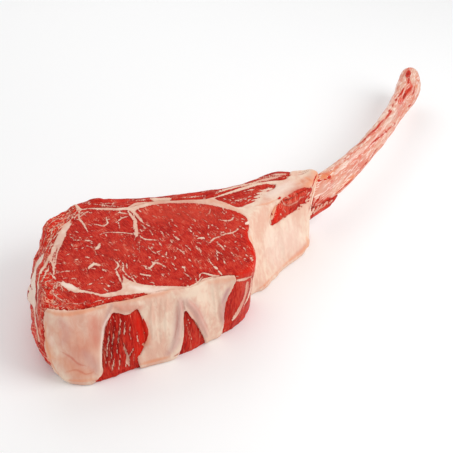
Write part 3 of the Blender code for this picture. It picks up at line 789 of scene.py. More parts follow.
# The scraped rib bone.
BONE_STROKES = (
    (L, 0.6, 1, "362,141.5 368,136.5 374,131", "388,112.5 390.2,108.4", "392,106 393.4,103.4",
     "369.5,147.4 375,141.4 380,137 385.6,132.8 390.5,127.6 394,124.3"),
    (L, 0.7, 1, "377,127.5 381,123 384.6,119"),
    (L, 0.8, 1, "396.3,101 397.6,98.4", "393.4,125 394.8,123.4"),
    (L, 0.9, 1, "398.6,97 402,92 404,88"),
    (L, 0.4, 1, "371,158 374.4,153 378,148"),
    (L, 1.0, 1, "408.2,107.4 410.6,104.8"),
    (L, 2.0, 1, "404,98.5 406,95 408.6,91 411,87.5"),
    (F, 0.5, 1, "407.4,96 409.6,92 411.6,90"),
    (L, 0.9, 1, "412,95 414,90 414.6,86.5"),
    (L, 2.6, 1, "407.6,76.5 408.6,73 409.8,70"),
    (F, 0.5, 1, "408,76.8 410.6,77.2"),
    (L, 1.1, 1, "318,181.6 319.4,180.4 321,180.4", "327.6,179 329.4,177.6 330.2,175"),
    (L, 0.5, 1, "320,181 324,180 327,179.4", "316.6,177 318.6,176 320,173.6"),
    (L, 0.8, 1, "313.6,196 312.6,202 311.6,208"),
    (L, 1.6, 1, "317.4,199.6 315.4,203.6 313.6,207.4"),
    (L, 0.6, 1, "320.6,194.6 318.4,199 316.4,203"),
    (L, 1.7, 1, "323.4,200 319.6,203.6", "330.6,198.4 326,199.8 321.4,203"),
    (F, 0.7, 1, "321,198 318,202 314.6,206.6"),
    (F, 0.6, 1, "326.6,198.6 322.6,201.4 318,205"),
    (L, 0.9, 1, "409.2,77.4 408,81 407.6,84", "334.6,195.6 340,190.4 346.4,184.8 351.6,180 355.6,175.8"),
    (L, 0.8, 1, "385.6,118.6 389,113.6 391.6,109.6", "371.6,133.6 376.4,128.6 380,125"),
    (L, 0.7, 1, "356,146.4 362,141.4 368,136.4"),
    (L, 0.4, 1, "329,171.4 332,169.6", "343,160 346.7,157"),
    (L, 0.45, 1, "358,171.5 364.4,164.6 370.7,157.4 375.8,151.4 382,144"),
    (T, 1.5, -0.9, "403.6,98 405.5,95 407,93"),
    (T, 1.2, -0.8, "408.4,74 409,71.6"),
    (T, 1.6, 1.3, "315,183 319,177.6 324,178.8 330,175.6"),
    (T, 2.0, 0.9, "360,143 372,133 384,120 393,106"),
    (T, 1.6, 1.4, "334.6,195.6 346.4,184.8 355.6,175.8"),
    (B, 1.6, 0.9, "358,145 367,137.5 375,130 381.5,123 387,117 392,110.5", "406,72 409,67.6 412.5,67.4"),
    (B, 2.4, 0.8, "370,147 380,137 391,127"),
    (B, 3.6, 1.0, "400,102 406,93 412,87"),
    (B, 2.0, 0.9, "399,106 403,100"),
    (B, 1.8, 1.0, "409,79 410.6,84 411,87"),
    (B, 3.4, 1.0, "314,200 317,204 323,201 330,198"),
    (B, 2.0, 0.8, "409.2,77.4 408,81 407.6,86"),
    (B, 1.2, 0.5, "346,166 356,158 366,150 376,141"),
    (B, 1.0, 0.4, "352,172 362,163 372,153"),
    (B, 1.0, 0.6, "380,148 392,132 404,116"),
    (P, 3.4, 1.3, "316,180 321,175.6 327,176.4 331.4,173"),
    (P, 1.5, 0.7, "330,173 338,167.6 345,162.6"),
    (P, 1.8, 1.3, "335,194.6 346,184 356,174"),
    (P, 1.6, 0.9, "414,89 418,86.6 419,92"),
    (V, 4.0, 0.3, "322,190 328,187 334,183"),
    (V, 2.6, 0.45, "388,124 394,117 400,109 404,103"),
    (V, 2.4, 0.3, "347,176 356,168 366,157"),
    # The next three rows are painted highlights along the left edge and the ridges of the bone.
    (C, 1.8, 0.9, "376,124 381,118 387,108 392,97 396,87 401,77"),
    (C, 0.8, 0.5, "336,173 347,164 358,154.4 369,144.6 379,133.6 389,121 397,109"),
    (C, 0.7, 0.5, "330,176.6 342,166.4 353,156.6 363,147.4"),
    (C, 1.4, 0.8, "415,96 418.6,89 418,82"),
    (U, 2.5, -1.7, "403.6,72.6 400.8,77"),
    (U, 2.6, -2.6, "413,69.6 415.4,73.4 418,79"),
    (U, 1.0, 0.8, "336,173 347,164 358,154.4 369,144.6 379,133.6 389,121 397,109 402,100"),
    (U, 0.9, -0.6, "340,174 352,163.6 363,153.6 373,143 382,133"),
    (U, 0.9, 0.5, "330,176.6 342,166.4 353,156.6 363,147.4"),
    (U, 0.9, -0.5, "378,127 386,116.6 393,104 399,92"),
    (U, 2.4, -0.9, "407.6,76.5 409.4,71"),
    (U, 1.8, -0.7, "404.4,97.6 408.6,91"),
)

# The fan of meat under the bone.
SHANK_STROKES = (
    (F, 1.2, 1, "314.4,207.6 311.8,212 309.8,215", "318.8,205.6 315.4,210.6 312,214.4"),
    (F, 1.1, 1, "323,203.6 319,208.6 315.6,212", "328,201 324,205.2 320,209"),
    (F, 1.0, 1, "333,198.4 329.6,202 326,204.6"),
    (T, 0.9, 1.1, "309,217.5 314,214 322,209.5 331,203"),
    (T, 0.9, 0.8, "307.5,214.5 311,209"),
    (B, 4.0, 0.9, "313,212 322,205.6 332,199.6"),
    (B, 1.2, 1.4, "313,214 322,208.6 332,201.6"),
    (P, 0.8, 0.8, "309,218 316,213 325,207"),
)


@dataclass(frozen=True)
class FleckPatch:
    """Fine marbling flecks that are scattered over the cut faces of one muscle."""

    node: str
    count: int
    direction: float
    spread: float
    lengths: tuple[float, float]
    half_widths: tuple[float, float]
    seed: int
    tries: int = 40
    bend: float = 0.25
    margin: float = 20.0
    search_above: float = 9.0
    search_below: float = 2.0
    corners: int = 5

    def strokes(self) -> list[Stroke]:
        """Scatters the flecks.

        Returns:
            Short curved strokes of fat on the upper cut face.
        """
        draw = np.random.default_rng(self.seed)
        tree = plan_tree((self.node,))
        low, high = (to_plan(np.array([corner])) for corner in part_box(self.node))
        middle = (low + high)[0, :2] / 2
        reach = np.linalg.norm(high - low) / 2 + self.margin
        found: list[Stroke] = []
        for _ in range(self.count * self.tries):
            if len(found) == self.count:
                break
            at = middle + draw.uniform(-reach, reach, 2)
            length = draw.uniform(*self.lengths)
            half = draw.uniform(*self.half_widths)
            angle = math.radians(self.direction + draw.normal(0, self.spread))
            bend = draw.normal(0, self.bend)
            hit = tree.ray_cast((*at, THICKNESS + self.search_above), (0, 0, -1))[0]
            if hit is None or hit.z < THICKNESS - self.search_below:
                continue
            steps = np.linspace(-0.5, 0.5, self.corners) * length
            heading = angle + bend * np.linspace(-1, 1, self.corners)
            path = np.column_stack((
                at[0] + steps * np.cos(heading),
                at[1] + steps * np.sin(heading),
                np.full(self.corners, THICKNESS),
            ))
            found.append(Stroke(Tissue.FAT, half, 1.0, smooth_path(path, LINE_SPACING)))
        return found


@dataclass(frozen=True)
class TornRim:
    """Where the outer lean is torn, in plan millimetres: each pair tells where a mask starts and is full."""

    search: float = 3.0
    from_lean: tuple[float, float] = (1.6, 0.4)
    into_fat: tuple[float, float] = (0.4, -0.6)
    facing_up: tuple[float, float] = (0.35, 0.7)
    left_wall: tuple[float, float] = (106.0, 114.0)
    front_from_left: tuple[float, float] = (-112.0, -86.0)
    front_from_middle: tuple[float, float] = (70.0, 84.0)
    front_whole: float = 0.6
    mottle: float = 0.45
    mottle_length: float = 9.0
    mottle_seed: int = 97


@dataclass
class Anatomy:
    """Where each tissue lies: the CAD solids and the strokes laid over them."""

    camera: PhotoCamera
    lean_nodes: tuple[str, ...] = (
        "eye_muscle", "cap_muscle", "outer_lean", "rib_finger", "rib_lean_upper", "rib_lean_lower",
        "front_lean", "tail_lean", "shank_meat",
    )
    fat_nodes: tuple[str, ...] = ("seam_fat", "fat_cap")
    flecks: tuple[FleckPatch, ...] = (
        FleckPatch("eye_muscle", 120, -60, 16, (2.0, 6.5), (0.2, 0.42), 11),
        FleckPatch("cap_muscle", 50, -12, 26, (2.0, 5.6), (0.2, 0.42), 23),
        FleckPatch("outer_lean", 30, 60, 40, (2.0, 7.0), (0.25, 0.45), 37),
        FleckPatch("rib_lean_upper", 24, 15, 12, (4.0, 10.0), (0.18, 0.4), 41),
        FleckPatch("rib_finger", 26, 25, 22, (1.8, 5.0), (0.18, 0.4), 53),
    )
    flesh_rows: tuple[tuple, ...] = (
        SEAM_STROKES + EYE_STROKES + CAP_STROKES + RIM_STROKES + BACK_STROKES + TAIL_STROKES + WALL_STROKES
        + SHANK_STROKES
    )
    bone_rows: tuple[tuple, ...] = BONE_STROKES
    torn: TornRim = TornRim()
    strokes: list[Stroke] = field(default_factory=list)
    bone_strokes: list[Stroke] = field(default_factory=list)

    def __post_init__(self) -> None:
        """Builds the search trees of the lean, the fat and the torn rim."""
        self.lean_tree = plan_tree(self.lean_nodes)
        self.fat_tree = plan_tree(self.fat_nodes)
        self.rim_tree = plan_tree(("outer_lean",))

    def survey(self) -> None:
        """Carries every stroke onto the solids and scatters the flecks."""
        self.strokes += self.carry(self.flesh_rows, plan_tree(self.lean_nodes + self.fat_nodes))
        for patch in self.flecks:
            self.strokes += patch.strokes()
        self.bone_strokes = self.carry(self.bone_rows, plan_tree(("rib_bone",)))

    def carry(self, rows: tuple[tuple, ...], surface: BVHTree) -> list[Stroke]:
        """Casts the lines of a table onto a surface.

        Args:
            rows: Kind, half width and amount, with the lines that are laid with them.
            surface: What the lines lie on.

        Returns:
            One stroke for each line that meets the surface.
        """
        strokes = []
        for kind, half_width, amount, *lines in rows:
            for line in lines:
                rays = self.camera.rays(smooth_path(read_pixels(line), LINE_SPACING))
                hits = (surface.ray_cast(self.camera.location, ray)[0] for ray in rays)
                path = np.array([tuple(hit) for hit in hits if hit is not None])
                if len(path):
                    strokes.append(Stroke(kind, half_width, float(amount), path))
        return strokes

    def tatter(self, look: SurfaceLook, points: np.ndarray, normals: np.ndarray) -> None:
        """Marks where the outer lean is torn: on the cut faces and down the left wall.

        Args:
            look: The tissue at the points, changed in place.
            points: Points of the surface in the plan.
            normals: Their normals in the plan.
        """
        torn = self.torn
        near = smoothstep(distances(self.rim_tree, points, torn.search), *torn.from_lean)
        near *= smoothstep(look.fat, *torn.into_fat)
        cut = smoothstep(np.abs(normals[:, 2]), *torn.facing_up)
        bare = np.maximum(cut, smoothstep(-points[:, 0], *torn.left_wall))
        front = smoothstep(points[:, 0], *torn.front_from_left) * smoothstep(-points[:, 1], *torn.front_from_middle)
        look.rag = near * bare * (1 - torn.front_whole * front)
        look.tone += torn.mottle * look.rag * layered_noise(points, torn.mottle_length, torn.mottle_seed)

    def look(self, points: np.ndarray, normals: np.ndarray, bone: bool) -> SurfaceLook:
        """Finds the tissue at points of a piece.

        Args:
            points: Points of its surface in the plan.
            normals: Their normals in the plan.
            bone: Whether the piece is bone.

        Returns:
            The values that the materials read.
        """
        count = len(points)
        if bone:
            fat = np.full(count, FAR_FIELD)
        else:
            trees = (self.lean_tree, self.fat_tree)
            from_lean, from_fat = (distances(tree, points, BORDER_REACH) for tree in trees)
            fat = np.clip(from_lean - from_fat, -FAR_FIELD, FAR_FIELD)
        look = SurfaceLook(fat, *(np.zeros(count) for _ in range(9)))
        if not bone:
            self.tatter(look, points, normals)
        laid = under_face_carried_up(points)
        for stroke in self.bone_strokes if bone else self.strokes:
            look.lay(stroke, laid)
        look.rag = np.clip(look.rag, 0.0, 1.0)
        return look


def under_face_carried_up(points: np.ndarray) -> np.ndarray:
    """Moves points of the hidden lower cut face to the upper one, and a little sideways so that the two differ.

    Args:
        points: Points in the plan.

    Returns:
        Where the strokes are read for each of them.
    """
    carried = points.copy()
    under = points[:, 2] < UNDER_FACE_LEVEL
    apart = points[under] + (0, 0, 300)
    for axis, shift in enumerate(UNDER_FACE_SHIFT):
        carried[under, axis] += UNDER_FACE_DRIFT * lattice_noise(apart, 30, 5 + axis) + shift
    carried[under, 2] = THICKNESS - points[under, 2]
    return carried


class Sketch:
    """Adds nodes to one shader tree and wires them."""

    def __init__(self, tree: bpy.types.NodeTree) -> None:
        """Starts on an emptied tree.

        Args:
            tree: The shader tree.
        """
        self.tree = tree
        self.nodes = tree.nodes
        self.nodes.clear()

    def node(self, kind: str, inputs: dict | None = None, **settings: object) -> bpy.types.Node:
        """Adds a node.

        Args:
            kind: The node's type.
            inputs: Values or sockets for its inputs, by name or number.
            settings: Values for its own properties.

        Returns:
            The node.
        """
        made = self.nodes.new(kind)
        for name, value in settings.items():
            setattr(made, name, value)
        for key, value in (inputs or {}).items():
            if isinstance(value, bpy.types.NodeSocket):
                self.tree.links.new(value, made.inputs[key])
            else:
                made.inputs[key].default_value = value
        return made

    def math(self, operation: str, *values: object) -> bpy.types.NodeSocket:
        """Adds a Math node.

        Args:
            operation: What it works out.
            values: Numbers or sockets.

        Returns:
            Its result.
        """
        return self.node("ShaderNodeMath", dict(enumerate(values)), operation=operation).outputs[0]

    def weigh(self, first: object, share: float, second: object, other: float) -> bpy.types.NodeSocket:
        """Adds up two values.

        Args:
            first: Number or socket.
            share: How much the first counts.
            second: Number or socket.
            other: How much the second counts.

        Returns:
            The weighted sum.
        """
        return self.math("ADD", self.math("MULTIPLY", first, share), self.math("MULTIPLY", second, other))

    def ridge(self, value: object) -> bpy.types.NodeSocket:
        """Measures how far a noise is from its middle, which is small along winding lines."""
        return self.math("ABSOLUTE", self.math("SUBTRACT", value, 0.5))

    def noise(self, vector: object, scale: float, detail: float = 2, distortion: float = 0) -> bpy.types.NodeSocket:
        """Adds a Noise Texture.

        Args:
            vector: Where it is read.
            scale: Features in one unit.
            detail: Layers of finer noise.
            distortion: How much it is twisted.

        Returns:
            Its grey value.
        """
        inputs = {"Vector": vector, "Scale": scale, "Detail": detail, "Distortion": distortion}
        return self.node("ShaderNodeTexNoise", inputs).outputs[0]

    def ease(
        self, value: object, low: float, high: float, start: float = 0, end: float = 1
    ) -> bpy.types.NodeSocket:
        """Adds a smooth Map Range.

        Args:
            value: What is mapped.
            low: Value that gives start.
            high: Value that gives end.
            start: Lowest result.
            end: Highest result.

        Returns:
            The mapped value.
        """
        inputs = {0: value, 1: low, 2: high, 3: start, 4: end}
        return self.node("ShaderNodeMapRange", inputs, interpolation_type="SMOOTHSTEP").outputs[0]

    def blend(self, share: object, first: object, second: object) -> bpy.types.NodeSocket:
        """Mixes two colours.

        Args:
            share: How much of the second colour shows.
            first: Colour or socket.
            second: Colour or socket.

        Returns:
            The mixed colour.
        """
        return self.node("ShaderNodeMix", {0: share, 6: first, 7: second}, data_type="RGBA").outputs[2]

    def glaze(self, colour: object, over: object, share: object, most: object) -> bpy.types.NodeSocket:
        """Lays a second colour over a first.

        Args:
            colour: The first colour or socket.
            over: The second colour or socket.
            share: Where the second shows.
            most: How much of it shows at most.

        Returns:
            The mixed colour.
        """
        return self.blend(self.math("MULTIPLY", share, most), colour, over)

    def use(self, tree: bpy.types.NodeTree, inputs: dict) -> bpy.types.Node:
        """Adds a shader group.

        Args:
            tree: The group.
            inputs: Sockets for its inputs, by name.

        Returns:
            The group's node.
        """
        made = self.node("ShaderNodeGroup", node_tree=tree)
        for key, value in inputs.items():
            self.tree.links.new(value, made.inputs[key])
        return made

    def stretch(self, vector: object, scale: tuple[float, float, float], turn: float = 0.0) -> bpy.types.NodeSocket:
        """Turns about Z, then scales a position.

        Args:
            vector: The position.
            scale: Factors along the turned axes.
            turn: Angle in degrees.

        Returns:
            The new position.
        """
        turned = self.node(
            "ShaderNodeVectorRotate", {"Vector": vector, "Angle": math.radians(-turn)}, rotation_type="Z_AXIS"
        ).outputs[0]
        return self.node("ShaderNodeVectorMath", {0: turned, 1: scale}, operation="MULTIPLY").outputs[0]


def linear(red: int, green: int, blue: int) -> tuple[float, float, float, float]:
    """Turns a screen colour of 0 to 255 into shader values.

    Args:
        red: Red part.
        green: Green part.
        blue: Blue part.

    Returns:
        The linear colour with full alpha.
    """
    parts = (value / 255 for value in (red, green, blue))
    return (*(p / 12.92 if p <= 0.04045 else ((p + 0.055) / 1.055) ** 2.4 for p in parts), 1.0)


class GroupSketch(Sketch):
    """Draws a shader node group with named inputs and outputs."""

    def __init__(self, name: str, inputs: dict[str, float | None]) -> None:
        """Starts the group.

        Args:
            name: Its name.
            inputs: Names with default numbers, or None for a position.
        """
        super().__init__(bpy.data.node_groups.new(name, "ShaderNodeTree"))
        for key, default in inputs.items():
            kind = "NodeSocketVector" if default is None else "NodeSocketFloat"
            socket = self.tree.interface.new_socket(key, in_out="INPUT", socket_type=kind)
            if default is not None:
                socket.default_value = default
        self.given = self.node("NodeGroupInput").outputs

    def close(self, **results: bpy.types.NodeSocket) -> bpy.types.NodeTree:
        """Puts out the results.

        Args:
            results: Sockets, each under the name of an output.

        Returns:
            The finished group.
        """
        for key in results:
            self.tree.interface.new_socket(key, in_out="OUTPUT", socket_type="NodeSocketFloat")
        end = self.node("NodeGroupOutput")
        for key, value in results.items():
            self.tree.links.new(value, end.inputs[key])
        return self.tree


class TissueGroups:
    """The shader groups that the steak's materials share."""

    def __init__(self) -> None:
        """Builds each group once."""
        self.edge = self.ragged_edge()
        self.grain = self.muscle_grain()
        self.fat = self.fat_grain()
        self.threads = self.torn_threads()

    def ragged_edge(self) -> bpy.types.NodeTree:
        """Turns a distance from a tissue border into a torn, feathered mask.

        Returns:
            The group.
        """
        s = GroupSketch("ragged_edge", {"Distance": 0.0, "Position": None, "Tear": 0.35, "Softness": 0.25})
        where = s.stretch(s.given["Position"], (1, 1, 0.22))
        coarse = s.math("SUBTRACT", s.noise(where, 0.7, 3, 0.8), 0.5)
        fine = s.math("SUBTRACT", s.noise(where, 2.0, 2), 0.5)
        torn = s.weigh(coarse, 3.0, fine, 1.3)
        moved = s.math("MULTIPLY_ADD", torn, s.given["Tear"], s.given["Distance"])
        return s.close(Mask=s.ease(s.math("DIVIDE", moved, s.given["Softness"]), -1, 1))

    def muscle_grain(self) -> bpy.types.NodeTree:
        """Makes the mottle, the fine flecks and the fibres of cut muscle.

        Returns:
            The group.
        """
        s = GroupSketch("muscle_grain", {"Position": None, "Grain": None})
        where = s.stretch(s.given["Position"], (1, 1, 0.12))
        along = s.given["Grain"]
        broad = s.noise(where, 0.085, 3, 0.5)
        bundles = s.noise(along, 0.75, 3, 0.8)
        fibres = s.noise(along, 2.3, 2, 0.4)
        cells = s.node("ShaderNodeTexVoronoi", {"Vector": where, "Scale": 0.62}, feature="DISTANCE_TO_EDGE")
        shade = s.math("MULTIPLY_ADD", s.math("SUBTRACT", fibres, 0.5), 0.6, s.weigh(broad, 0.5, bundles, 0.5))
        veins = s.ease(s.ridge(s.noise(along, 0.42, 3, 1.2)), 0.03, 0.01)
        patches = s.ease(s.noise(where, 0.2, 2), 0.56, 0.64, 0, 0.7)
        specks = s.ease(s.noise(along, 0.8, 2, 0.9), 0.71, 0.76)
        seams = s.ease(cells.outputs[0], 0, 0.16)
        height = s.math("MULTIPLY_ADD", seams, 0.12, s.weigh(bundles, 0.6, fibres, 0.35))
        return s.close(
            Shade=shade,
            Flecks=s.math("MAXIMUM", s.math("MULTIPLY", veins, patches), specks),
            Fibres=s.ease(s.noise(along, 1.0, 2, 0.5), 0.53, 0.62),
            Height=height,
        )

    def torn_threads(self) -> bpy.types.NodeTree:
        """Makes the pale threads and the light and dark crumbs of torn lean, drawn out along the rim.

        Returns:
            The group.
        """
        s = GroupSketch("torn_threads", {"Position": None})
        middle = s.node("ShaderNodeVectorMath", {0: RIM_CENTRE, 1: s.given["Position"]}, operation="SUBTRACT")
        x, y, z = s.node("ShaderNodeSeparateXYZ", {0: middle.outputs[0]}).outputs
        around = s.math("MULTIPLY", s.math("ARCTAN2", y, x), RIM_THREAD_RADIUS)
        across = s.math("SQRT", s.math("ADD", s.math("MULTIPLY", x, x), s.math("MULTIPLY", y, y)))
        up = s.math("MULTIPLY", z, RIM_UPRIGHT)
        where = s.node("ShaderNodeCombineXYZ", {0: around, 1: across, 2: up}).outputs[0]
        coarse = s.ease(s.ridge(s.noise(where, 0.18, 1.6, 1.6)), 0.022, 0.01)
        fine = s.ease(s.ridge(s.noise(where, 0.4, 2, 1.2)), 0.024, 0.01)
        patches = s.ease(s.noise(where, 0.12, 2), 0.5, 0.6)
        return s.close(
            Threads=s.math("MAXIMUM", coarse, s.math("MULTIPLY", fine, patches)),
            Crumbs=s.noise(where, 0.4, 3, 0.7),
        )

    def fat_grain(self) -> bpy.types.NodeTree:
        """Makes the cloudy colour and the soft wrinkles of fat.

        Returns:
            The group.
        """
        s = GroupSketch("fat_grain", {"Position": None})
        where = s.stretch(s.given["Position"], (1, 1, 0.45))
        middle = s.noise(where, 0.33, 3, 0.6)
        return s.close(
            Cloud=s.weigh(s.noise(where, 0.07, 3, 0.4), 0.6, middle, 0.4),
            Specks=s.ease(s.noise(where, 0.9, 2), 0.68, 0.8),
            Height=s.weigh(middle, 0.6, s.noise(where, 1.6, 3), 0.4),
        )


@dataclass(frozen=True)
class FleshFinish:
    """Moist raw tissue: red muscle and creamy fat, told apart by the surface's own values."""

    name: str
    lean: tuple = linear(192, 32, 21)
    lean_light: tuple = linear(210, 70, 50)
    lean_dark: tuple = linear(140, 14, 9)
    lean_bright: tuple = linear(216, 32, 14)
    marbling: tuple = linear(246, 184, 152)
    fat: tuple = linear(238, 212, 190)
    fat_shade: tuple = linear(228, 182, 160)
    blush: tuple = linear(204, 108, 88)
    peach: tuple = linear(228, 134, 84)
    veil: tuple = linear(198, 148, 144)
    # Pale cream of fat, also the colour of the painted highlights.
    cream: tuple = linear(248, 230, 217)
    # Colour of the painted shade in creases and gaps.
    crack: tuple = linear(140, 62, 46)
    tear: float = 0.55
    softness: float = 0.13
    roughness: float = 0.4
    fat_dulling: float = 0.08
    specular: float = 0.05
    coat: float = 0.03
    coat_roughness: float = 0.18
    bump: float = 0.9
    bump_depth: float = 0.0006
    streaked: bool = False

    def build(self, groups: TissueGroups) -> bpy.types.Material:
        """Makes the material.

        Args:
            groups: The shader groups it uses.

        Returns:
            The material.
        """
        material = bpy.data.materials.new(self.name)
        material.use_nodes = True
        s = Sketch(material.node_tree)
        where = s.node("ShaderNodeAttribute", attribute_name="plan").outputs["Vector"]
        fibres = s.node("ShaderNodeAttribute", attribute_name="grain").outputs["Vector"]
        read = {key: s.node("ShaderNodeAttribute", attribute_name=key).outputs["Fac"] for key in PAINTED}
        edge = s.use(groups.edge, {"Distance": read["fat"], "Position": where})
        edge.inputs["Tear"].default_value = self.tear
        edge.inputs["Softness"].default_value = self.softness
        mask = edge.outputs["Mask"]
        grain = s.use(groups.grain, {"Position": where, "Grain": fibres}).outputs
        clouds = s.use(groups.fat, {"Position": fibres if self.streaked else where}).outputs
        torn = s.use(groups.threads, {"Position": where}).outputs

        lean = self.lean_colour(s, read, grain, torn)
        fat = self.fat_colour(s, read, clouds, grain)
        colour = s.blend(mask, lean, fat)
        # Painted shade in creases and in gaps between tissues.
        colour = s.glaze(colour, self.crack, s.ease(read["crack"], 0, 1), 0.9)

        lean_height = s.math("MULTIPLY_ADD", s.math("MULTIPLY", torn["Threads"], read["rag"]), 0.2, grain["Height"])
        height = s.node("ShaderNodeMix", {0: mask, 2: lean_height, 3: clouds["Height"]}).outputs[0]
        bump = s.node("ShaderNodeBump", {"Strength": self.bump, "Distance": self.bump_depth, "Height": height})
        rough = s.node("ShaderNodeMix", {0: mask, 2: self.roughness, 3: self.roughness + self.fat_dulling})
        rough = s.math("MULTIPLY_ADD", s.math("SUBTRACT", clouds["Cloud"], 0.5), 0.25, rough.outputs[0])
        shader = s.node("ShaderNodeBsdfPrincipled", {
            "Base Color": colour,
            "Roughness": rough,
            "Normal": bump.outputs[0],
            "Specular IOR Level": self.specular,
            "Coat Weight": self.coat,
            "Coat Roughness": self.coat_roughness,
        })
        end = s.node("ShaderNodeOutputMaterial")
        s.tree.links.new(shader.outputs[0], end.inputs[0])
        return material

    def lean_colour(self, s: Sketch, read: dict, grain: object, torn: object) -> bpy.types.NodeSocket:
        """Colours the muscle.

        Args:
            s: The material's sketch.
            read: The painted values.
            grain: Results of the muscle grain.
            torn: Results of the torn threads.

        Returns:
            The colour.
        """
        shade, tone, rag = grain["Shade"], read["tone"], read["rag"]
        lean = s.blend(s.ease(shade, 0.37, 0.5, 0.25, 1), self.lean_dark, self.lean)
        lean = s.blend(s.ease(shade, 0.5, 0.66, 0, 0.85), lean, self.lean_light)
        lean = s.glaze(lean, self.lean_bright, s.ease(tone, 0, 1), 0.85)
        # Darker muscle where the value is below zero, which also paints shade in a few gaps.
        lean = s.glaze(lean, self.lean_dark, s.ease(tone, 0, -1), 0.9)
        lean = s.glaze(lean, self.lean_dark, s.ease(torn["Crumbs"], 0.42, 0.33, 0, 0.6), rag)
        lean = s.glaze(lean, self.lean_bright, s.ease(torn["Crumbs"], 0.42, 0.52, 0, 0.95), rag)
        lean = s.glaze(lean, self.lean_light, grain["Fibres"], 0.6)
        lean = s.glaze(lean, self.marbling, grain["Flecks"], 0.75)
        lean = s.glaze(lean, self.marbling, s.math("MULTIPLY", torn["Threads"], rag), 0.85)
        lean = s.glaze(lean, self.lean_light, read["blush"], 0.3)
        return s.blend(s.ease(read["fat"], -0.9, -0.2, 0, 0.3), lean, self.lean_dark)

    def fat_colour(self, s: Sketch, read: dict, clouds: object, grain: object) -> bpy.types.NodeSocket:
        """Colours the fat.

        Args:
            s: The material's sketch.
            read: The painted values.
            clouds: Results of the fat grain.
            grain: Results of the muscle grain, for bone.

        Returns:
            The colour.
        """
        fat = s.blend(s.ease(clouds["Cloud"], 0.38, 0.62), self.fat, self.fat_shade)
        fat = s.glaze(fat, self.blush, clouds["Specks"], 0.2)
        fat = s.blend(s.ease(read["fat"], 1.3, 0.1, 0, 0.12), fat, self.blush)
        # The cream tint also paints highlights on folded fat edges and bone ridges.
        tints = (
            ("blush", self.blush, 0.6),
            ("peach", self.peach, 0.62),
            ("veil", self.veil, 0.75),
            ("cream", self.cream, 0.8),
        )
        for key, colour, most in tints:
            share = s.node("ShaderNodeMath", {0: read[key], 1: most}, operation="MULTIPLY", use_clamp=True)
            fat = s.blend(share.outputs[0], fat, colour)
        if self.streaked:
            fat = s.glaze(fat, self.cream, grain["Fibres"], 0.7)
            fat = s.blend(s.ease(grain["Shade"], 0.47, 0.38, 0, 0.5), fat, self.blush)
            fat = s.glaze(fat, self.lean, grain["Flecks"], 0.8)
        return fat


@dataclass(frozen=True)
class FloorFinish:
    """Plain pale studio paper."""

    name: str = "studio_paper"
    colour: tuple = (0.97, 0.97, 0.97, 1.0)
    roughness: float = 0.9
    specular: float = 0.1

    def build(self) -> bpy.types.Material:
        """Makes the material.

        Returns:
            The material.
        """
        material = bpy.data.materials.new(self.name)
        material.use_nodes = True
        shader = material.node_tree.nodes["Principled BSDF"]
        shader.inputs["Base Color"].default_value = self.colour
        shader.inputs["Roughness"].default_value = self.roughness
        shader.inputs["Specular IOR Level"].default_value = self.specular
        return material


def read_points(mesh: bpy.types.Mesh, what: str = "co") -> np.ndarray:
    """Reads a vector of every vertex.

    Args:
        mesh: The mesh.
        what: The vertex property.

    Returns:
        One row a vertex.
    """
    values = np.empty(len(mesh.vertices) * 3)
    mesh.vertices.foreach_get(what, values)
    return values.reshape(-1, 3)


def relax(mesh: bpy.types.Mesh, rounds: int, share: float = 0.5) -> None:
    """Moves every vertex towards the middle of its neighbours.

    Args:
        mesh: The mesh, changed in place.
        rounds: How often.
        share: How far each time.
    """
    points = read_points(mesh)
    edges = np.empty(len(mesh.edges) * 2, dtype=np.int64)
    mesh.edges.foreach_get("vertices", edges)
    first, second = edges.reshape(-1, 2).T
    ties = np.bincount(np.concatenate((first, second)), minlength=len(points))[:, None]
    for _ in range(rounds):
        sums = np.column_stack([
            np.bincount(first, points[second, k], len(points)) + np.bincount(second, points[first, k], len(points))
            for k in range(3)
        ])
        points += share * (sums / np.maximum(ties, 1) - points)
    mesh.vertices.foreach_set("co", points.ravel())
    mesh.update()


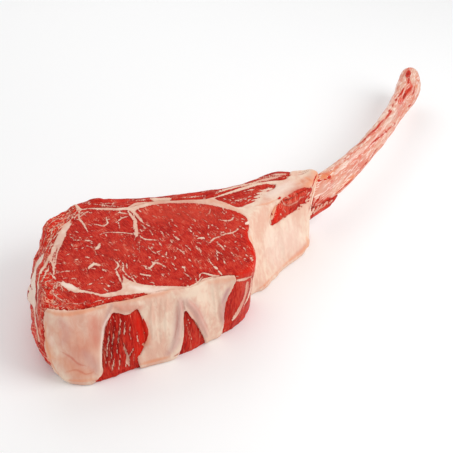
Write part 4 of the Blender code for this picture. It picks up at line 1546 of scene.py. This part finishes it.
@dataclass(frozen=True)
class Relief:
    """How every tissue is carved, on the flat cut faces and on the walls."""

    broad: Waves = Waves(24, 0.5, 3, 2, upright=0.6)
    cut_lean: Waves = Waves(3.2, 0.22, 7)
    cut_fat: Waves = Waves(5, 0.18, 31)
    wall_lean: Waves = Waves(3.4, 0.55, 13, upright=0.14)
    wall_fat: Waves = Waves(8, 0.6, 19, upright=0.3)
    wall_wrinkles: Waves = Waves(3, 0.14, 29, 2, upright=0.14)
    bone_ridges: Waves = Waves(5, 0.75, 37)
    bone_lines: Waves = Waves(1.8, 0.2, 39, 2)
    rim_strands: Waves = Waves(4.2, 2.6, 43)
    rim_crumbs: Waves = Waves(2.6, 0.6, 47, 2)
    fat_step: float = 0.22
    bone_broad: float = 0.5
    crag_height: float = 0.9
    crag_floor: float = 0.6
    flat_limits: tuple[float, float] = (0.55, 0.9)
    fat_limits: tuple[float, float] = (-0.35, 0.6)

    def bone(self, points: np.ndarray, along: np.ndarray, look: SurfaceLook) -> np.ndarray:
        """Works out how far points of the bone stand out.

        Args:
            points: Points in the plan.
            along: The same points measured along the fibres.
            look: The tissue at the points.

        Returns:
            Millimetres along the normals.
        """
        ridges = self.bone_ridges.at(along) + self.bone_lines.at(along)
        return self.broad.at(points) * self.bone_broad + ridges + look.lift

    def flesh(
        self, points: np.ndarray, normals: np.ndarray, along: np.ndarray, look: SurfaceLook
    ) -> np.ndarray:
        """Works out how far points of lean and fat stand out.

        Args:
            points: Points in the plan.
            normals: Their normals in the plan.
            along: The same points measured along the fibres.
            look: The tissue at the points.

        Returns:
            Millimetres along the normals.
        """
        flat = smoothstep(np.abs(normals[:, 2]), *self.flat_limits)
        fat = smoothstep(look.fat, *self.fat_limits)
        lean_part = flat * self.cut_lean.at(along) + (1 - flat) * self.wall_lean.at(points)
        wall_fat = self.wall_fat.at(points) + self.wall_wrinkles.at(points)
        fat_part = flat * self.cut_fat.at(points) + (1 - flat) * wall_fat
        ridges = 1 - np.abs(self.rim_strands.at(rim_coordinates(points)))
        crags = look.rag * (self.crag_height * (ridges - self.crag_floor) + self.rim_crumbs.at(points))
        step = self.fat_step * fat * flat
        lean_part += look.swell
        return self.broad.at(points) + (1 - fat) * lean_part + crags + fat * fat_part + step + look.lift


@dataclass
class FleshPiece:
    """A piece of flesh or bone: CAD solids swollen together, carved with relief and painted with its tissue."""

    name: str
    nodes: tuple[str, ...]
    slot: Slot
    voxel: float
    swell: float
    lent_nodes: tuple[str, ...] = ()
    keep_below: float | None = None
    keep_above: float | None = None
    dense_top: bool = False
    top_depth: float = 1.2
    top_slope: float = 0.5
    relax_rounds: int = 2
    fibre_turn: float = -55.0
    fibre_scale: tuple[float, float, float] = (0.24, 1.25, 0.12)
    fibre_bend: float = 2.2
    fibre_bend_length: float = 20.0
    fibre_bend_seed: int = 81
    fibre_axis: tuple = ()
    axis_scale: tuple[float, float, float] = (0.12, 1.0, 1.0)
    relief: Relief = Relief()

    def shell(self) -> bpy.types.Mesh:
        """Joins the swollen solids and skins them with an even mesh.

        Returns:
            The skin in frame metres.
        """
        whole = bmesh.new()
        for name in self.nodes + self.lent_nodes:
            solid = bmesh.new()
            solid.from_mesh(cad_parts[name].data)
            bmesh.ops.remove_doubles(solid, verts=solid.verts[:], dist=WELD_DISTANCE * MM)
            bmesh.ops.recalc_face_normals(solid, faces=solid.faces[:])
            solid.normal_update()
            for vert in solid.verts:
                vert.co += vert.normal * self.swell * MM
            if name == "seam_fat":
                self.trim(solid)
            part = bpy.data.meshes.new("part")
            solid.to_mesh(part)
            solid.free()
            whole.from_mesh(part)
            bpy.data.meshes.remove(part)
        mesh = bpy.data.meshes.new(self.name)
        whole.to_mesh(mesh)
        whole.free()
        return self.skin(mesh)

    def trim(self, solid: bmesh.types.BMesh) -> None:
        """Cuts the solid off at the piece's limits along the plan's X.

        Args:
            solid: The solid, changed in place.
        """
        normal = Vector((math.cos(TURN), math.sin(TURN), 0))
        for limit, side in ((self.keep_below, 1), (self.keep_above, -1)):
            if limit is None:
                continue
            at = Vector(to_frame(np.array([[limit, PLAN_ORIGIN[1], 0.0]]))[0])
            geometry = solid.verts[:] + solid.edges[:] + solid.faces[:]
            bmesh.ops.bisect_plane(solid, geom=geometry, plane_co=at, plane_no=normal * side, clear_outer=True)
            rim = [edge for edge in solid.edges if edge.is_boundary]
            bmesh.ops.holes_fill(solid, edges=rim, sides=0)

    def skin(self, mesh: bpy.types.Mesh) -> bpy.types.Mesh:
        """Skins a mesh with even voxel faces, smaller ones on its upper cut face if asked.

        Args:
            mesh: The joined solids, removed afterwards.

        Returns:
            The even mesh.
        """
        rough = bpy.data.objects.new(self.name + "_rough", mesh)
        bpy.context.scene.collection.objects.link(rough)
        remesh = rough.modifiers.new("skin", "REMESH")
        remesh.mode = "VOXEL"
        remesh.voxel_size = self.voxel * MM
        bpy.context.view_layer.update()
        graph = bpy.context.evaluated_depsgraph_get()
        skin = bpy.data.meshes.new_from_object(rough.evaluated_get(graph))
        bpy.data.objects.remove(rough)
        bpy.data.meshes.remove(mesh)
        skin.name = self.name
        relax(skin, self.relax_rounds)
        if self.dense_top:
            self.refine_top(skin)
        return skin

    def refine_top(self, skin: bpy.types.Mesh) -> None:
        """Splits the faces of the upper cut face.

        Args:
            skin: The even mesh, changed in place.
        """
        work = bmesh.new()
        work.from_mesh(skin)
        level = (THICKNESS - self.top_depth) * MM
        top = [
            face for face in work.faces if face.calc_center_median().z > level and face.normal.z > self.top_slope
        ]
        edges = list({edge for face in top for edge in face.edges})
        bmesh.ops.subdivide_edges(work, edges=edges, cuts=1, use_grid_fill=True)
        work.to_mesh(skin)
        work.free()

    def grain(self, points: np.ndarray) -> np.ndarray:
        """Measures points along and across the fibres, so that noise read there is drawn out along them.

        Args:
            points: Points in the plan.

        Returns:
            One row a point, short along the fibres.
        """
        if self.fibre_axis:
            return along_axis(points, np.array(self.fibre_axis)) * self.axis_scale
        bends = (
            lattice_noise(points * FIBRE_BEND_SQUASH, self.fibre_bend_length, self.fibre_bend_seed + 2 * axis)
            for axis in range(2)
        )
        x, y = (points[:, axis] + self.fibre_bend * bend for axis, bend in enumerate(bends))
        turned = math.radians(-self.fibre_turn)
        c, s = math.cos(turned), math.sin(turned)
        return np.column_stack((c * x - s * y, s * x + c * y, points[:, 2])) * self.fibre_scale

    def build(self, anatomy: Anatomy, material: bpy.types.Material) -> bpy.types.Object:
        """Makes the piece and hands it to the frame.

        Args:
            anatomy: Where each tissue lies.
            material: The piece's finish.

        Returns:
            The finished object.
        """
        mesh = self.shell()
        points = to_plan(read_points(mesh))
        ahead = to_plan(read_points(mesh) + read_points(mesh, "normal") * MM)
        normals = ahead - points
        along = self.grain(points)
        bone = self.slot is Slot.BONE
        look = anatomy.look(points, normals, bone)
        height = self.relief.bone(points, along, look) if bone else self.relief.flesh(points, normals, along, look)
        placed = points + normals * height[:, None] + organic_drift(points)
        placed[:, 2] = np.maximum(placed[:, 2], 0.0)
        mesh.vertices.foreach_set("co", to_frame(placed).ravel())
        mesh.polygons.foreach_set("use_smooth", np.ones(len(mesh.polygons), bool))
        for key in PAINTED:
            attribute = mesh.attributes.new(key, "FLOAT", "POINT")
            attribute.data.foreach_set("value", getattr(look, key).astype(np.float32))
        for key, values in (("plan", points), ("grain", along)):
            attribute = mesh.attributes.new(key, "FLOAT_VECTOR", "POINT")
            attribute.data.foreach_set("vector", values.astype(np.float32).ravel())
        mesh.update()
        mesh.materials.clear()
        mesh.materials.append(material)
        piece = bpy.data.objects.new(self.name, mesh)
        bpy.context.scene.collection.objects.link(piece)
        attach(piece, BODY)
        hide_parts(*self.nodes)
        LOG.info("%s: %d faces", self.name, len(mesh.polygons))
        return piece


def rim_coordinates(points: np.ndarray) -> np.ndarray:
    """Unrolls points around the middle of the steak, short along the rim and up the wall.

    Args:
        points: Points in the plan.

    Returns:
        Place along the rim, distance from the middle and height, one row a point.
    """
    offset = points - RIM_CENTRE
    around = np.arctan2(-offset[:, 1], -offset[:, 0]) * RIM_STRAND_RADIUS
    return np.column_stack((around, np.hypot(offset[:, 0], offset[:, 1]), offset[:, 2] * RIM_UPRIGHT))


def along_axis(points: np.ndarray, axis: np.ndarray) -> np.ndarray:
    """Measures points against a curved line in the plan.

    Args:
        points: Points in the plan.
        axis: Corners of the line, one a row.

    Returns:
        Length along the line, distance to its side and height, one row a point.
    """
    path = smooth_path(axis, 1.0)
    run = np.concatenate(((0.0,), np.cumsum(np.linalg.norm(np.diff(path, axis=0), axis=1))))
    ahead = np.gradient(path, axis=0)
    ahead /= np.linalg.norm(ahead, axis=1, keepdims=True)
    flat = points[:, :2]
    nearest = np.argmin((path**2).sum(axis=1) - 2 * flat @ path.T, axis=1)
    offset = flat - path[nearest]
    forward = ahead[nearest]
    return np.column_stack((
        run[nearest] + (offset * forward).sum(axis=1),
        forward[:, 0] * offset[:, 1] - forward[:, 1] * offset[:, 0],
        points[:, 2],
    ))


def organic_drift(points: np.ndarray, waves: tuple = ((13, 0.55, 61), (5.5, 0.3, 71))) -> np.ndarray:
    """Bends every outline a little, alike for neighbouring pieces.

    Args:
        points: Points in the plan.
        waves: Length, height and seed of each bend.

    Returns:
        Sideways moves in millimetres.
    """
    tall = points * DRIFT_SQUASH
    moves = (sum(high * lattice_noise(tall, long, seed + k) for long, high, seed in waves) for k in range(2))
    return np.column_stack((*moves, np.zeros(len(points))))


@dataclass
class Steak:
    """The dressed steak, piece by piece."""

    lean_finish: FleshFinish = FleshFinish("raw_lean")
    fat_finish: FleshFinish = FleshFinish("raw_fat", tear=0.5, softness=0.15, roughness=0.44, coat=0.04, bump=0.8)
    bone_finish: FleshFinish = FleshFinish(
        "scraped_bone",
        fat=linear(226, 186, 164),
        fat_shade=linear(219, 144, 122),
        blush=linear(216, 76, 56),
        lean=linear(200, 46, 32),
        softness=0.22,
        tear=0.7,
        roughness=0.44,
        bump=0.8,
        streaked=True,
    )
    pieces: tuple[FleshPiece, ...] = (
        FleshPiece(
            "marbled_block", ("eye_muscle", "cap_muscle", "outer_lean", "rib_finger"), Slot.LEAN, 1.1, 0.22,
            lent_nodes=("seam_fat",), keep_below=30.0, dense_top=True,
        ),
        FleshPiece("tail_fat", ("seam_fat",), Slot.FAT, 0.9, 0.3, keep_above=13.0),
        FleshPiece("outer_fat", ("fat_cap",), Slot.FAT, 0.8, 0.25),
        FleshPiece("upper_rib_strip", ("rib_lean_upper",), Slot.LEAN, 0.9, 0.22, fibre_turn=15),
        FleshPiece("lower_rib_strip", ("rib_lean_lower",), Slot.LEAN, 1.1, 0.22, fibre_turn=15),
        FleshPiece("front_lean_slip", ("front_lean",), Slot.LEAN, 0.7, 0.3),
        FleshPiece("tail_lean_slip", ("tail_lean",), Slot.LEAN, 0.6, 0.35, fibre_turn=35),
        FleshPiece(
            "shank_meat_fan", ("shank_meat",), Slot.LEAN, 0.6, 0.7,
            fibre_axis=((58.5, 21.5), (68.5, 33.0), (84.5, 51.5)),
        ),
        FleshPiece(
            "scraped_rib_bone", ("rib_bone",), Slot.BONE, 0.9, 0.1,
            fibre_axis=(
                (18, 13), (48, 24.5), (60, 30), (70.3, 39.8), (84, 56), (98, 75.2), (112.4, 96.7), (126.5, 120.3),
                (139, 146), (150.3, 170.5), (158, 190), (164.2, 213.5),
            ),
        ),
    )

    def build(self, anatomy: Anatomy, groups: TissueGroups) -> list[bpy.types.Object]:
        """Builds every piece in order.

        Args:
            anatomy: Where each tissue lies.
            groups: The shared shader groups.

        Returns:
            The pieces.
        """
        looks = {Slot.LEAN: self.lean_finish, Slot.FAT: self.fat_finish, Slot.BONE: self.bone_finish}
        finishes = {slot: finish.build(groups) for slot, finish in looks.items()}
        return [piece.build(anatomy, finishes[piece.slot]) for piece in self.pieces]


@dataclass(frozen=True)
class Softbox:
    """A soft square lamp that looks at the steak: its side in metres, its power in watts."""

    name: str
    place: tuple[float, float, float]
    size: float
    power: float
    aim: tuple[float, float, float] = (0.0, -20.0, 20.0)

    def build(self) -> None:
        """Hangs the lamp at its place in the plan."""
        data = bpy.data.lights.new(self.name, "AREA")
        data.size = self.size
        data.energy = self.power
        lamp = bpy.data.objects.new(self.name, data)
        ends = to_frame(np.array([self.place, self.aim]))
        lamp.location = ends[0]
        lamp.rotation_euler = Vector(ends[1] - ends[0]).to_track_quat("-Z", "Y").to_euler()
        bpy.context.scene.collection.objects.link(lamp)


@dataclass(frozen=True)
class Studio:
    """A pale floor, an even sky and soft lamps."""

    floor_half: float = 3.0
    floor_level: float = -0.0002
    sky: float = 0.56
    lamps: tuple[Softbox, ...] = (
        Softbox("key_softbox", (540, -190, 520), 0.5, 3.0),
        Softbox("fill_softbox", (-520, -420, 420), 0.7, 0.75),
        Softbox("back_softbox", (-160, 480, 560), 0.6, 1.3),
    )

    def build(self) -> None:
        """Adds the floor, the sky and the lamps."""
        mesh = bpy.data.meshes.new("studio_floor")
        corners = [
            (side * self.floor_half, end * self.floor_half, self.floor_level)
            for side, end in ((-1, -1), (1, -1), (1, 1), (-1, 1))
        ]
        mesh.from_pydata(corners, [], [(0, 1, 2, 3)])
        mesh.materials.append(FloorFinish().build())
        floor = bpy.data.objects.new("studio_floor", mesh)
        bpy.context.scene.collection.objects.link(floor)
        world = bpy.data.worlds.new("studio_sky")
        world.use_nodes = True
        sky = world.node_tree.nodes["Background"]
        sky.inputs[0].default_value = (1, 1, 1, 1)
        sky.inputs[1].default_value = self.sky
        bpy.context.scene.world = world
        for lamp in self.lamps:
            lamp.build()
        bpy.context.scene.view_settings.view_transform = "Standard"


def main() -> None:
    """Builds the steak and its studio."""
    logging.basicConfig(level=logging.INFO, format="%(name)s: %(message)s")
    camera = PhotoCamera()
    camera.build()
    anatomy = Anatomy(camera)
    anatomy.survey()
    LOG.info("%d strokes of tissue", len(anatomy.strokes) + len(anatomy.bone_strokes))
    Steak().build(anatomy, TissueGroups())
    Studio().build()


if __name__ == "__main__":
    main()
